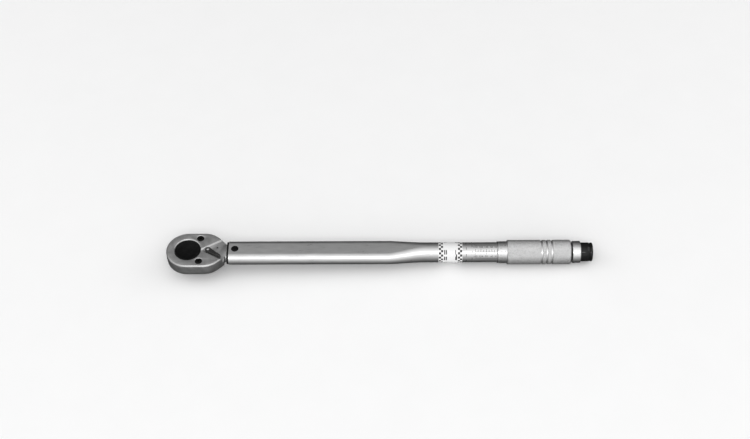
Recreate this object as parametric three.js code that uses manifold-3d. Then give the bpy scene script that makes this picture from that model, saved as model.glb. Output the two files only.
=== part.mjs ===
// Click-type torque wrench with a reversible ratchet head and a twist handle.
// Millimetres. The origin is the centre of the drive square's end face, +X runs from the
// head to the handle, and +Z from the square to the selector lever.
import * as THREE from "three";
import { mergeVertices } from "three/addons/utils/BufferGeometryUtils.js";
import Module from "manifold-3d";

const wasm = await Module();
wasm.setup();

// ---------------------------------------------------------------- driving dimensions

// Clearances
const seatGap = 0.3; // between two pieces that rest on each other
const fitGap = 0.2; // round a piece that is fixed in a hole
const slideGap = 0.25; // round a piece that turns or slides in a hole
const meshGap = 0.12; // between the teeth of pawl and gear
const cutPast = 1; // how far a cut runs past the face it opens
const joinDepth = 0.01; // how far two joined shapes run into each other

// Drive square
const squareSide = 12.7;
const squareLength = 15.5;
const squareChamfer = 0.8;
const detentBallRadius = 2.3;
const detentBallProud = 0.8;
const detentHeight = 6; // of the ball above the square's end
const detentSpringLength = 4.2;

// Head
const headRadius = 23.8;
const headStretch = 17.5; // between the centres of its two round ends
const headEndCut = 0.8; // taken off the second round end, square to the neck
const headAbove = 6.5; // lever face above the tube's centreline
const headBelow = 9.5; // drive face below it
const headChamfer = 1.2;
const discSunk = 0.5; // of the wheel's upper face below the lever face
const neckBehindPin = 2.2; // pin radii from the pin to where the neck narrows
const barFlattening = 0.3; // share of the neck's flattening that the bar keeps
const barProud = 0.4; // of the bar round the tang's square end
const coverThickness = 2.5;
const coverChamfer = 0.4;
const coverStretch = 10;
const coverLip = 2.2; // of the head round the cover plate
const roofHeight = 2; // of the cavity's roof above the centreline

// Ratchet
const teeth = 36;
const headWall = 8.2; // from the tooth tips to the outside of the head
const toothHeight = 1.2;
const toothTip = 0.24; // share of the pitch that is flat at the tip
const toothRoot = 0.84; // share of the pitch that the tooth covers at its root
const journalStep = 0.5; // from the tooth roots in to the upper journal
const journalChamfer = 0.9;
const lowerJournalWall = 2; // round the square's corners
const gearPocketGap = 0.5; // round the tooth tips
const pawlPinRadius = 1.2;
const pawlPinInset = 1.4; // of the pawl's pivot from the tooth tips
const pawlPinFloor = 0.7; // of the cover plate under the pivot
const pawlPinDepth = 1.8; // of the pivot's hole above the cavity's roof
const pawlSideGap = 0.1; // more than the wheel's, above and below
const pawlBack = 2.4; // of the pawl's back from the tooth tips
const pawlHalfAngle = 39; // degrees either side of the head's middle line
const pawlBareAngle = 19; // degrees either side that have no teeth
const pawlSwing = 11; // degrees from one direction to the other
const pawlRoomAngle = 3; // degrees of space past each end of the pawl
const screwCircle = 5.1; // of the cover screws from the tooth tips
const screwAngle = 50.7; // degrees
const screwRadius = 2;
const screwHeadRadius = 3.75;
const screwHeadDepth = 2.4;
const screwHeadSunk = 0.25;
const screwSocketRadius = 1.5;
const screwSocketDepth = 1.35;
const screwEndInset = 0.4; // of the shank's end in the cover plate

// Selector
const camRadius = 4.2;
const camJournalRadius = 2.6;
const camTipRadius = 1.65;
const camTipProud = 0.8; // of the cam's riveted end above the lever
const pawlBallRadius = 1.5;
const pawlBallProud = 0.9;
const pawlSpringLength = 3.4;
const pawlSpringWire = 0.4;
const detentSpringWire = 0.5;
const smallSpringTurns = 5;
const leverAngle = -35; // degrees from +X, where the lever stands
const leverLength = 17.3; // from its pivot to the tail's end
const leverHubRadius = 3.2;
const leverTailRadius = 1.5;
const leverThickness = 2;
const leverChamfer = 0.4;
const ribRise = 1.6; // of the thumb rib above the lever
const ribNarrowing = 0.75; // of the rib to the lever's tail
const ribShare = 0.4; // of the lever's length that the rib takes
const fanHalfAngle = 31; // degrees
const fanDepth = 1.7;
const fanLead = 7; // from the fan's apex to the lever's pivot

// Tube
const neckLength = 2.6;
const sealThickness = 1.7;
const sealInset = 0.6; // of the seal's outside from the tube's
const sealSideGap = 0.4; // between the seal and the neck's sides
const flatLength = 172.4;
const transitionLength = 44.5;
const roundLength = 124;
const tubeRadius = 11;
const tubeWall = 1.8;
const flatHalfHeight = 7.7;
const flatHalfWidth = 14.2;
const neckTopGap = 0.4;
const neckSideGap = 1.7;
const pinFromFront = 6.9;
const pinRadius = 4;
const pinCrown = 0.9;

// Click mechanism
const tangTipHalf = 4; // half the side of the tang's square end
const tangTipLength = 12;
const blockHalf = 4; // half the block's width and height
const blockReach = 8.5; // from the block's pivot to its front face
const cupOffset = 1.5; // of the block's pivot in front of the plunger
const plungerLength = 15.7;
const plungerChamfer = 0.5;
const bossLength = 6;
const bossGap = 0.5;
const springGap = 0.6; // round the spring in the bore
const springWire = 3.4;
const springTurns = 11;
const seatThickness = 4.7;
const thrustBallRadius = 4;
const ballShow = 1.5; // from the ball's centre to the faces on each side of it

// Adjusting screw and nut
const travel = 24;
const travelSpare = 1;
const screwThreadRadius = 6;
const screwTailRadius = 4.7;
const screwBore = 2.6;
const screwNose = 13; // in front of the tube nut
const screwChamfer = 0.6;
const screwPastNut = 0.5; // of the screw's end behind the handle nut
const nutLength = 20;
const nutPinRadius = 1.5;
const nutPinSunk = 0.1;

// Handle
const handleOverlap = 45.3; // of the thimble over the tube
const thimbleLength = 10.9;
const thimbleWall = 0.75;
const thimbleBevel = 2.4;
const gripWall = 2.25;
const gripChamfer = 0.8;
const webThickness = 6;
const socketDepth = 4.8;
const socketRadius = 9.75;
const grooveCount = 3;
const grooveWidth = 2;
const grooveDepth = 0.8;
const groovePitch = 5.6;
const grooveFromRear = 20.8;
const washerRadius = 8.9;
const washerThickness = 1.5;
const handleNutAcross = 12.4;
const handleNutHeight = 6;

// End collar and lock
const collarGroove = 1.7;
const collarLength = 9.3;
const collarRadius = 12.1;
const collarChamfer = 0.8;
const collarHollowRadius = 7.7;
const collarHollowSpare = 0.6; // behind the adjusting screw's end
const lockThreadSetback = 0.4; // of the lock rod's thread behind the collar's hollow
const lockThreadRadius = 4;
const lockRodRadius = 2.2;
const lockPlugLength = 3.1;
const knobLength = 12.9;
const knobRadius = 10.4;
const knobLip = 2.6;
const knobGrooveWidth = 1.2;
const knobGrooveDepth = 0.9;
const knobSocketDepth = 8;
const knobChamfer = 0.8;

// ---------------------------------------------------------------- derived places

const degree = Math.PI / 180;
const axisHeight = squareLength + headBelow;

const tipRadius = headRadius - headWall;
const rootRadius = tipRadius - toothHeight;
const journalRadius = rootRadius - journalStep;
const lowerJournalRadius = (squareSide / 2) * Math.SQRT2 + lowerJournalWall;
const coverTop = coverThickness - headBelow;
const wheelBottom = coverTop + seatGap;
const wheelTop = roofHeight - seatGap;
const pawlPinX = tipRadius + pawlPinInset;
const camX = tipRadius + pawlBack + seatGap + camRadius;
const camMiddle = (wheelBottom + wheelTop) / 2;
const ballTrackRadius = camRadius + pawlBallProud + seatGap;
const ballTrackTop = camMiddle + pawlBallRadius + seatGap;
const fanFloor = headAbove - fanDepth;
const headEnd = headStretch + headRadius - headEndCut;

const sealFront = headEnd + neckLength;
const tubeFront = sealFront + sealThickness + seatGap;
const flatEnd = tubeFront + flatLength;
const roundStart = flatEnd + transitionLength;
const tubeRear = roundStart + roundLength;
const boreRadius = tubeRadius - tubeWall;
const boreHalfHeight = flatHalfHeight - tubeWall;
const boreHalfWidth = flatHalfWidth - tubeWall;
const neckHalfHeight = boreHalfHeight - neckTopGap;
const neckHalfWidth = boreHalfWidth - neckSideGap;
const pinX = tubeFront + pinFromFront;

const plungerFront = roundStart + seatGap;
const plungerRear = plungerFront + plungerLength;
const blockPivotX = plungerFront - cupOffset;
const tangEnd = blockPivotX - blockReach - seatGap;
const nutFront = tubeRear - nutLength;
const screwFront = nutFront - screwNose;
const thrustBallX = screwFront - ballShow;
const seatRear = thrustBallX - ballShow;
const seatFront = seatRear - seatThickness;
const springFront = plungerRear + seatGap;
const springRear = seatFront - seatGap;
const springRadius = boreRadius - springGap;
const bossRadius = springRadius - springWire - bossGap;

const thimbleFront = tubeRear - handleOverlap;
const handleBore = tubeRadius + slideGap;
const gripRadius = handleBore + gripWall;
const webFront = tubeRear + travel + travelSpare;
const webRear = webFront + webThickness;
const handleRear = webRear + socketDepth;
const washerFront = webRear + seatGap;
const handleNutFront = washerFront + washerThickness + seatGap;
const handleNutRear = handleNutFront + handleNutHeight;
const screwRear = handleNutRear + screwPastNut;
const collarHollowEnd = screwRear + collarHollowSpare;
const collarFront = handleRear + collarGroove;
const collarRear = collarFront + collarLength;
const knobFront = collarRear + seatGap;
const plugFront = thrustBallX + thrustBallRadius + seatGap;
const plugRear = plugFront + lockPlugLength;
const rodFront = plugRear + seatGap;
const rodThreadFront = collarHollowEnd + lockThreadSetback;
const rodRear = knobFront + knobSocketDepth - seatGap;

// ---------------------------------------------------------------- finishes

const finish = (color, roughness, metalness) => () =>
  new THREE.MeshStandardMaterial({ color, roughness, metalness });
const satinChrome = finish(0xb9b9b6, 0.38, 1);
const forgedSteel = finish(0x9a9994, 0.5, 1);
const polishedChrome = finish(0xd8d8d6, 0.14, 1);
const knurledChrome = finish(0xb4b3ae, 0.6, 0.9);
const blackSteel = finish(0x16161a, 0.4, 0.7);
const blackRubber = finish(0x0e0e0f, 0.8, 0);
const blackPlastic = finish(0x0b0b0c, 0.22, 0);
const brightSteel = finish(0xc4c5c6, 0.25, 1);
const springSteel = finish(0x55565a, 0.4, 0.9);
const brass = finish(0xb8923f, 0.35, 1);
const whiteNylon = finish(0xe6e2d6, 0.5, 0);

// ---------------------------------------------------------------- making shapes

// A closed geometry as a solid that can be cut and joined.
function solid(geometry) {
  const bare = geometry.index ? geometry.toNonIndexed() : geometry.clone();
  bare.deleteAttribute("normal");
  bare.deleteAttribute("uv");
  const merged = mergeVertices(bare, 1e-4);
  const corners = merged.index.array;
  const triangles = [];
  for (let i = 0; i < corners.length; i += 3) {
    const [a, b, c] = corners.slice(i, i + 3);
    if (a !== b && b !== c && c !== a) triangles.push(a, b, c);
  }
  const vertProperties = merged.attributes.position.array;
  return new wasm.Manifold(
    new wasm.Mesh({ numProp: 3, vertProperties, triVerts: new Uint32Array(triangles) }),
  );
}

// A named mesh of a solid, in its own copy of a finish.
function piece(name, shape, makeFinish) {
  const { vertProperties, triVerts } = shape.getMesh();
  const geometry = new THREE.BufferGeometry();
  geometry.setAttribute("position", new THREE.BufferAttribute(vertProperties, 3));
  geometry.setIndex(new THREE.BufferAttribute(triVerts, 1));
  geometry.computeVertexNormals();
  const mesh = new THREE.Mesh(geometry, makeFinish());
  mesh.name = name;
  return mesh;
}

// A shape turned round the X axis from an outline of [x, radius] points, which runs
// forwards along the outside and, on a hollow piece, back along the inside.
function turned(outline, sides = 36) {
  const points = outline.map(([x, radius]) => new THREE.Vector2(radius, x)).reverse();
  return solid(new THREE.LatheGeometry(points, sides).rotateZ(-Math.PI / 2));
}

// The same round the Z axis, from [z, radius] points that run upwards along the outside.
function turnedUpright(outline, sides = 28) {
  const points = outline.map(([z, radius]) => new THREE.Vector2(radius, z));
  return solid(new THREE.LatheGeometry(points, sides).rotateX(Math.PI / 2));
}

const rod = (front, rear, radius, sides) =>
  turned([[rear, 0], [rear, radius], [front, radius], [front, 0]], sides);

const post = (bottom, top, radius, sides) =>
  turnedUpright([[bottom, 0], [bottom, radius], [top, radius], [top, 0]], sides);

function block(low, high) {
  const size = high.map((value, i) => value - low[i]);
  const middle = high.map((value, i) => (value + low[i]) / 2);
  return solid(new THREE.BoxGeometry(...size).translate(...middle));
}

const ball = (radius) => solid(new THREE.SphereGeometry(radius, 14, 8));

// An upright plate of a flat outline, with chamfers of the given size on its edges.
function plate(outline, bottom, top, chamfer = 0, curveSegments = 16) {
  const geometry = new THREE.ExtrudeGeometry(outline, {
    depth: top - bottom - 2 * chamfer,
    curveSegments,
    bevelEnabled: chamfer > 0,
    bevelThickness: chamfer,
    bevelSize: chamfer,
    bevelOffset: -chamfer,
    bevelSegments: 1,
  });
  return solid(geometry.translate(0, 0, bottom + chamfer));
}

// Two half circles joined by straight sides, both centres on the X axis.
function racetrack(radius, stretch) {
  const shape = new THREE.Shape();
  shape.absarc(0, 0, radius, Math.PI / 2, 1.5 * Math.PI, false);
  shape.absarc(stretch, 0, radius, -Math.PI / 2, Math.PI / 2, false);
  shape.closePath();
  return shape;
}

// A section across the tube: two half circles of one radius, each "shift" from the middle.
function flattenedRing(x, radius, shift, sides = 36) {
  const ring = [];
  for (const side of [1, -1])
    for (let i = 0; i <= sides / 2; i++) {
      const angle = (i / (sides / 2)) * Math.PI - (side * Math.PI) / 2;
      const y = side * shift + radius * Math.cos(angle);
      ring.push(new THREE.Vector3(x, y, radius * Math.sin(angle)));
    }
  return ring;
}

// A solid skin over rings that have the same number of points.
function loft(rings) {
  const positions = [];
  const face = (...points) => points.forEach((p) => positions.push(p.x, p.y, p.z));
  const count = rings[0].length;
  for (let i = 0; i + 1 < rings.length; i++)
    for (let j = 0; j < count; j++) {
      const next = (j + 1) % count;
      face(rings[i][j], rings[i][next], rings[i + 1][next]);
      face(rings[i][j], rings[i + 1][next], rings[i + 1][j]);
    }
  const first = rings[0];
  const last = rings[rings.length - 1];
  for (let j = 1; j + 1 < count; j++) {
    face(first[0], first[j + 1], first[j]);
    face(last[0], last[j], last[j + 1]);
  }
  const geometry = new THREE.BufferGeometry();
  geometry.setAttribute("position", new THREE.Float32BufferAttribute(positions, 3));
  return solid(geometry);
}

// A coil spring's wire, with one closed turn at each end.
class SpringWire extends THREE.Curve {
  constructor(length, radius, wire, turns) {
    super();
    Object.assign(this, { length, radius, wire, turns });
  }
  getPoint(t) {
    const closed = this.wire * 1.05; // pitch of the end turns
    const run = this.length - this.wire;
    const open = (run - 2 * closed) / (this.turns - 2); // pitch of the others
    const turn = t * this.turns;
    const middle = Math.min(Math.max(turn - 1, 0), this.turns - 2) * open;
    const ends = (Math.min(turn, 1) + Math.max(turn - this.turns + 1, 0)) * closed;
    const angle = turn * 2 * Math.PI;
    return new THREE.Vector3(
      this.wire / 2 + middle + ends,
      this.radius * Math.cos(angle),
      this.radius * Math.sin(angle),
    );
  }
}

// A spring along X from 0 to its length, "radius" outside.
function coil(length, radius, wire, turns, stepsPerTurn, wireSides) {
  const section = new THREE.Shape();
  section.absarc(0, 0, wire / 2, 0, 2 * Math.PI, false);
  const extrudePath = new SpringWire(length, radius - wire / 2, wire, turns);
  const steps = turns * stepsPerTurn;
  return solid(
    new THREE.ExtrudeGeometry(section, { steps, extrudePath, curveSegments: wireSides }),
  );
}

// ---------------------------------------------------------------- ratchet head

// The lever face seen from above: a racetrack with its neck end cut to 45 degree shoulders.
function headOutline() {
  const shoulder = Math.PI / 4;
  const drop = headEnd - headStretch - headRadius * Math.cos(shoulder);
  const endHalf = headRadius * Math.sin(shoulder) - drop;
  const shape = new THREE.Shape();
  shape.absarc(0, 0, headRadius, Math.PI / 2, 1.5 * Math.PI, false);
  shape.absarc(headStretch, 0, headRadius, -Math.PI / 2, -shoulder, false);
  shape.lineTo(headEnd, -endHalf);
  shape.lineTo(headEnd, endHalf);
  shape.absarc(headStretch, 0, headRadius, shoulder, Math.PI / 2, false);
  shape.closePath();
  return shape;
}

// The wheel's toothed outline, made larger all round by "extra".
function wheelOutline(extra = 0) {
  const pitch = (2 * Math.PI) / teeth;
  const tipHalf = (pitch * toothTip) / 2 + extra / tipRadius;
  const rootHalf = (pitch * toothRoot) / 2 + extra / rootRadius;
  const points = [];
  const corner = (radius, angle) =>
    points.push(new THREE.Vector2(radius * Math.cos(angle), radius * Math.sin(angle)));
  for (let i = 0; i < teeth; i++) {
    const middle = i * pitch;
    corner(rootRadius + extra, middle - rootHalf);
    corner(tipRadius + extra, middle - tipHalf);
    corner(tipRadius + extra, middle + tipHalf);
    corner(rootRadius + extra, middle + rootHalf);
  }
  return new THREE.Shape(points);
}

// A band round the drive axis, "half" degrees either side of the head's middle line.
function bandOutline(inner, outer, half) {
  const shape = new THREE.Shape();
  shape.absarc(0, 0, outer, -half * degree, half * degree, false);
  shape.absarc(0, 0, inner, half * degree, -half * degree, true);
  shape.closePath();
  return shape;
}

const screwPlaces = [1, -1].map((side) => {
  const reach = tipRadius + screwCircle;
  const angle = side * screwAngle * degree;
  return [reach * Math.cos(angle), reach * Math.sin(angle)];
});

// The pawl's arm from its pivot to its teeth, and how far the teeth move from the middle.
const pawlToothAngle = ((pawlHalfAngle + pawlBareAngle) / 2) * degree;
const pawlArm = Math.hypot(
  pawlPinX - rootRadius * Math.cos(pawlToothAngle),
  rootRadius * Math.sin(pawlToothAngle),
);
const pawlReach = pawlArm * Math.sin((pawlSwing / 2) * degree);

// The forging: head, neck and the tang that runs down the tube to the click block.
function ratchetHead() {
  const neckShift = neckHalfWidth - neckHalfHeight;
  const barStart = pinX + neckBehindPin * pinRadius;
  const barEnd = tangEnd - tangTipLength;
  const tang = loft([
    flattenedRing(headEnd - headWall, neckHalfHeight, neckShift, 20),
    flattenedRing(barStart, neckHalfHeight, neckShift, 20),
    flattenedRing(barStart + 2 * neckHalfWidth, neckHalfHeight, neckShift * barFlattening, 20),
    flattenedRing(barEnd + cutPast, tangTipHalf + barProud, 0, 20),
  ]);
  const tip = block([barEnd, -tangTipHalf, -tangTipHalf], [tangEnd, tangTipHalf, tangTipHalf]);
  const pinHole = post(-headBelow, headAbove, pinRadius + slideGap).translate(pinX, 0, 0);

  const coverSeat = racetrack(headRadius - coverLip + fitGap, coverStretch);
  const cavityOutline = bandOutline(
    journalRadius,
    tipRadius + pawlBack + pawlReach + seatGap,
    pawlHalfAngle + pawlRoomAngle,
  );
  const chamferRadius = journalRadius + slideGap + journalChamfer;
  const mouth = turnedUpright(
    [
      [headAbove - journalChamfer, 0],
      [headAbove - journalChamfer, journalRadius + slideGap],
      [headAbove + cutPast, chamferRadius + cutPast],
      [headAbove + cutPast, 0],
    ],
    48,
  );
  const fan = new THREE.Shape();
  const fanReach = headEnd + cutPast - camX + fanLead;
  fan.moveTo(0, 0);
  fan.lineTo(fanReach, -fanReach * Math.tan(fanHalfAngle * degree));
  fan.lineTo(fanReach, fanReach * Math.tan(fanHalfAngle * degree));
  fan.closePath();

  let shape = plate(headOutline(), -headBelow, headAbove, headChamfer)
    .add(tang)
    .add(tip)
    .subtract(pinHole)
    .subtract(plate(coverSeat, -headBelow - cutPast, wheelBottom))
    .subtract(post(-headBelow, roofHeight, tipRadius + gearPocketGap, 48))
    .subtract(post(0, headAbove + cutPast, journalRadius + slideGap, 48))
    .subtract(mouth)
    .subtract(plate(cavityOutline, -headBelow, roofHeight))
    .subtract(post(-headBelow, roofHeight, camRadius + slideGap).translate(camX, 0, 0))
    .subtract(post(-headBelow, ballTrackTop, ballTrackRadius).translate(camX, 0, 0))
    .subtract(post(0, headAbove, camJournalRadius + slideGap).translate(camX, 0, 0))
    .subtract(post(0, roofHeight + pawlPinDepth, pawlPinRadius + fitGap, 20).translate(pawlPinX, 0, 0))
    .subtract(plate(fan, fanFloor, headAbove + cutPast).translate(camX - fanLead, 0, 0));
  for (const [x, y] of screwPlaces) {
    const shank = post(-headBelow, headAbove, screwRadius + fitGap, 20);
    const headFloor = headAbove - screwHeadDepth - seatGap;
    const head = post(headFloor, headAbove + cutPast, screwHeadRadius + fitGap);
    shape = shape.subtract(shank.add(head).translate(x, y, 0));
  }
  return piece("ratchet_head", shape, forgedSteel);
}

function coverPlate() {
  const below = -headBelow - cutPast;
  const outline = racetrack(headRadius - coverLip, coverStretch);
  const pawlHole = post(-headBelow + pawlPinFloor, 0, pawlPinRadius + fitGap, 20);
  let shape = plate(outline, -headBelow, coverTop, coverChamfer)
    .subtract(post(below, 0, lowerJournalRadius + slideGap, 48))
    .subtract(post(below, 0, camJournalRadius + slideGap).translate(camX, 0, 0))
    .subtract(pawlHole.translate(pawlPinX, 0, 0));
  for (const [x, y] of screwPlaces)
    shape = shape.subtract(post(below, 0, screwRadius + fitGap, 20).translate(x, y, 0));
  return piece("cover_plate", shape, forgedSteel);
}

// Flat-headed screws with a hexagon socket, from the lever face into the cover plate.
function coverScrews() {
  const underHead = headAbove - screwHeadDepth;
  const headTop = headAbove - screwHeadSunk;
  const shape = post(-headBelow + screwEndInset, underHead, screwRadius, 20)
    .add(post(underHead - joinDepth, headTop, screwHeadRadius))
    .subtract(post(headTop - screwSocketDepth, headAbove, screwSocketRadius, 6));
  return screwPlaces.map(([x, y], i) => {
    const screw = piece("cover_screw_" + (i + 1), shape, blackSteel);
    screw.position.set(x, y, 0);
    return screw;
  });
}

// Ratchet wheel, its two journals and the drive square, in one piece.
function driveGear() {
  const top = headAbove - discSunk;
  const squareEnd = -headBelow - squareLength;
  const half = squareSide / 2;
  const outline = new THREE.Shape();
  outline.moveTo(-half, -half);
  outline.lineTo(half, -half);
  outline.lineTo(half, half);
  outline.lineTo(-half, half);
  outline.closePath();
  const ballHole = post(0, detentSpringLength + 2 * detentBallRadius, detentBallRadius + fitGap, 20)
    .rotate([90, 0, 0])
    .translate([0, detentSpringFloor(), squareEnd + detentHeight]);
  const shape = plate(wheelOutline(), wheelBottom, wheelTop)
    .add(post(0, top, journalRadius, 48))
    .add(post(-headBelow - seatGap, wheelBottom + joinDepth, lowerJournalRadius, 48))
    .add(plate(outline, squareEnd, coverTop, squareChamfer))
    .subtract(ballHole);
  return piece("drive_gear", shape, blackSteel);
}

// Bottom of the ball's hole, measured across the square from its middle.
function detentSpringFloor() {
  const ballBack = -squareSide / 2 - detentBallProud + 2 * detentBallRadius;
  return ballBack + 2 * seatGap + detentSpringLength;
}

function detentBall() {
  const mesh = piece("detent_ball", ball(detentBallRadius), brightSteel);
  const y = -squareSide / 2 - detentBallProud + detentBallRadius;
  mesh.position.set(0, y, detentHeight - axisHeight);
  return mesh;
}

function detentSpring() {
  const radius = detentBallRadius - seatGap;
  const shape = coil(detentSpringLength, radius, detentSpringWire, smallSpringTurns, 8, 2);
  const mesh = piece("detent_spring", shape, springSteel);
  mesh.rotation.z = -Math.PI / 2;
  mesh.position.set(0, detentSpringFloor() - seatGap, detentHeight - axisHeight);
  return mesh;
}

// The pawl is cut by the wheel at each of its two working places, then laid in the first.
function pawl() {
  const blankInner = rootRadius + meshGap + pawlReach;
  const outer = tipRadius + pawlBack;
  const bare = bandOutline(rootRadius, tipRadius + seatGap, pawlBareAngle);
  const blank = bandOutline(blankInner, outer, pawlHalfAngle);
  const pinBottom = -headBelow + pawlPinFloor + seatGap;
  const pinTop = roofHeight + pawlPinDepth - seatGap;
  const body = plate(blank, wheelBottom + pawlSideGap, wheelTop - pawlSideGap)
    .subtract(plate(bare, wheelBottom, wheelTop))
    .add(post(pinBottom, pinTop, pawlPinRadius, 20).translate(pawlPinX, 0, 0));
  const wheel = plate(wheelOutline(meshGap), wheelBottom, wheelTop);
  const ballTrack = post(2 * camMiddle - ballTrackTop, ballTrackTop, ballTrackRadius)
    .translate(camX, 0, 0);
  const turnedBy = (shape, angle) =>
    shape.translate(-pawlPinX, 0, 0).rotate([0, 0, angle]).translate(pawlPinX, 0, 0);
  const half = pawlSwing / 2;
  let shape = turnedBy(body, -half).subtract(wheel).subtract(ballTrack);
  shape = turnedBy(shape, half).subtract(ballTrack);
  shape = turnedBy(shape, half).subtract(wheel).subtract(ballTrack);
  return piece("pawl", shape, brightSteel);
}

// ---------------------------------------------------------------- selector

// Everything here stands on the cam's axis, with the lever's tail along +X.
function selector() {
  const ballCentre = camRadius + pawlBallProud - pawlBallRadius;
  const springEnd = ballCentre - pawlBallRadius - fitGap;
  const springFloor = springEnd - pawlSpringLength;
  const leverBottom = fanFloor + seatGap;
  const leverTop = leverBottom + leverThickness;
  const crossHole = rod(-camRadius - cutPast, -springFloor + fitGap, pawlBallRadius + fitGap, 20)
    .translate(0, 0, camMiddle);
  const cam = post(wheelBottom, wheelTop, camRadius)
    .subtract(crossHole)
    .add(post(-headBelow, wheelBottom + joinDepth, camJournalRadius))
    .add(post(wheelTop - joinDepth, fanFloor, camJournalRadius))
    .add(post(fanFloor - joinDepth, leverTop + camTipProud, camTipRadius, 24));

  const tailX = leverLength - leverTailRadius;
  const lean = Math.asin((leverHubRadius - leverTailRadius) / tailX);
  const teardrop = new THREE.Shape();
  teardrop.absarc(0, 0, leverHubRadius, Math.PI / 2 - lean, 1.5 * Math.PI + lean, false);
  teardrop.absarc(tailX, 0, leverTailRadius, -Math.PI / 2 + lean, Math.PI / 2 - lean, false);
  teardrop.closePath();
  const ribOutline = racetrack(leverTailRadius * ribNarrowing, tailX * ribShare);
  const rib = plate(ribOutline, leverTop - leverChamfer, leverTop + ribRise, leverChamfer, 8);
  const lever = plate(teardrop, leverBottom, leverTop, leverChamfer, 12)
    .add(rib.translate(tailX * (1 - ribShare), 0, 0))
    .subtract(post(leverBottom - cutPast, leverTop + cutPast, camTipRadius + fitGap, 24));

  const pawlBall = piece("pawl_ball", ball(pawlBallRadius), brightSteel);
  pawlBall.position.set(-ballCentre, 0, camMiddle);
  const springRadius = pawlBallRadius - fitGap;
  const spring = coil(pawlSpringLength, springRadius, pawlSpringWire, smallSpringTurns, 8, 2);
  const pawlSpring = piece("pawl_spring", spring, springSteel);
  pawlSpring.position.set(-springEnd, 0, camMiddle);

  const group = new THREE.Group();
  group.add(
    piece("selector_cam", cam, brightSteel),
    piece("selector_lever", lever, blackSteel),
    pawlBall,
    pawlSpring,
  );
  group.position.x = camX;
  group.rotation.z = leverAngle * degree;
  return group;
}

// ---------------------------------------------------------------- tube and click mechanism

function neckSeal() {
  const outerHeight = flatHalfHeight - sealInset;
  const shift = flatHalfWidth - flatHalfHeight;
  const innerHeight = neckHalfHeight + slideGap;
  const innerShift = neckHalfWidth + sealSideGap - innerHeight;
  const outer = [0, sealThickness].map((x) => flattenedRing(x, outerHeight, shift));
  const inner = [-cutPast, sealThickness + cutPast].map((x) => flattenedRing(x, innerHeight, innerShift));
  const mesh = piece("neck_seal", loft(outer).subtract(loft(inner)), blackRubber);
  mesh.position.x = sealFront;
  return mesh;
}

// One skin of the tube, "inset" inside the outer one.
function tubeSkin(front, rear, inset) {
  const flatRadius = flatHalfHeight - inset;
  const flatShift = flatHalfWidth - flatHalfHeight;
  const roundRadius = tubeRadius - inset;
  const steps = 6;
  const rings = [flattenedRing(front, flatRadius, flatShift)];
  for (let i = 0; i <= steps; i++) {
    const share = i / steps;
    const eased = share * share * (3 - 2 * share);
    const radius = flatRadius + (roundRadius - flatRadius) * eased;
    const x = flatEnd + share * transitionLength;
    rings.push(flattenedRing(x, radius, flatShift * (1 - eased)));
  }
  rings.push(flattenedRing(rear, roundRadius, 0));
  return loft(rings);
}

const nutPinX = (nutFront + tubeRear) / 2;

function tube() {
  const pinReach = flatHalfHeight + cutPast;
  const pinHole = post(-pinReach, pinReach, pinRadius + fitGap, 24);
  const nutHole = post(-tubeRadius - cutPast, tubeRadius + cutPast, nutPinRadius + fitGap, 16);
  const shape = tubeSkin(tubeFront, tubeRear, 0)
    .subtract(tubeSkin(tubeFront - cutPast, tubeRear + cutPast, tubeWall))
    .subtract(pinHole.translate(pinX, 0, 0))
    .subtract(nutHole.translate(nutPinX, 0, 0));
  return piece("tube", shape, satinChrome);
}

function pivotPin() {
  const end = flatHalfHeight;
  const crown = [0, 0.4, 0.75, 1].map((share) => [
    end + pinCrown * share,
    pinRadius * Math.sqrt(1 - share * share),
  ]);
  const outline = crown.map(([z, radius]) => [-z, radius]).reverse().concat(crown);
  const mesh = piece("pivot_pin", turnedUpright(outline, 24), blackSteel);
  mesh.position.x = pinX;
  return mesh;
}

// The block tips on the round nose that sits in the plunger's cup. Its front is an arc round
// the same axis, so that tipping leaves the tang's flat end clear.
function clickBlock() {
  const frontHalf = Math.asin(blockHalf / blockReach);
  const outline = new THREE.Shape();
  outline.absarc(0, 0, blockHalf, -Math.PI / 2, Math.PI / 2, false);
  outline.absarc(0, 0, blockReach, Math.PI - frontHalf, Math.PI + frontHalf, false);
  outline.closePath();
  const mesh = piece("click_block", plate(outline, -blockHalf, blockHalf, 0, 12), brightSteel);
  mesh.position.x = blockPivotX;
  return mesh;
}

function plunger() {
  const radius = boreRadius - slideGap;
  const cup = post(-blockHalf - seatGap, blockHalf + seatGap, blockHalf + seatGap);
  const shape = turned(
    [
      [plungerLength + bossLength, 0],
      [plungerLength + bossLength, bossRadius],
      [plungerLength, bossRadius],
      [plungerLength, radius - plungerChamfer],
      [plungerLength - plungerChamfer, radius],
      [plungerChamfer, radius],
      [0, radius - plungerChamfer],
      [0, 0],
    ],
    32,
  ).subtract(cup.translate(-cupOffset, 0, 0));
  const mesh = piece("plunger", shape, brightSteel);
  mesh.position.x = plungerFront;
  return mesh;
}

function mainSpring() {
  const shape = coil(springRear - springFront, springRadius, springWire, springTurns, 12, 3);
  const mesh = piece("main_spring", shape, springSteel);
  mesh.position.x = springFront;
  return mesh;
}

function springSeat() {
  const shape = turned(
    [
      [seatThickness, 0],
      [seatThickness, boreRadius - slideGap],
      [0, boreRadius - slideGap],
      [0, bossRadius],
      [-bossLength, bossRadius],
      [-bossLength, 0],
    ],
    32,
  ).subtract(ball(thrustBallRadius + seatGap).translate(seatThickness + ballShow, 0, 0));
  const mesh = piece("spring_seat", shape, brightSteel);
  mesh.position.x = seatFront;
  return mesh;
}

function thrustBall() {
  const mesh = piece("thrust_ball", ball(thrustBallRadius), brightSteel);
  mesh.position.x = thrustBallX;
  return mesh;
}

// ---------------------------------------------------------------- adjusting screw and nut

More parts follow.
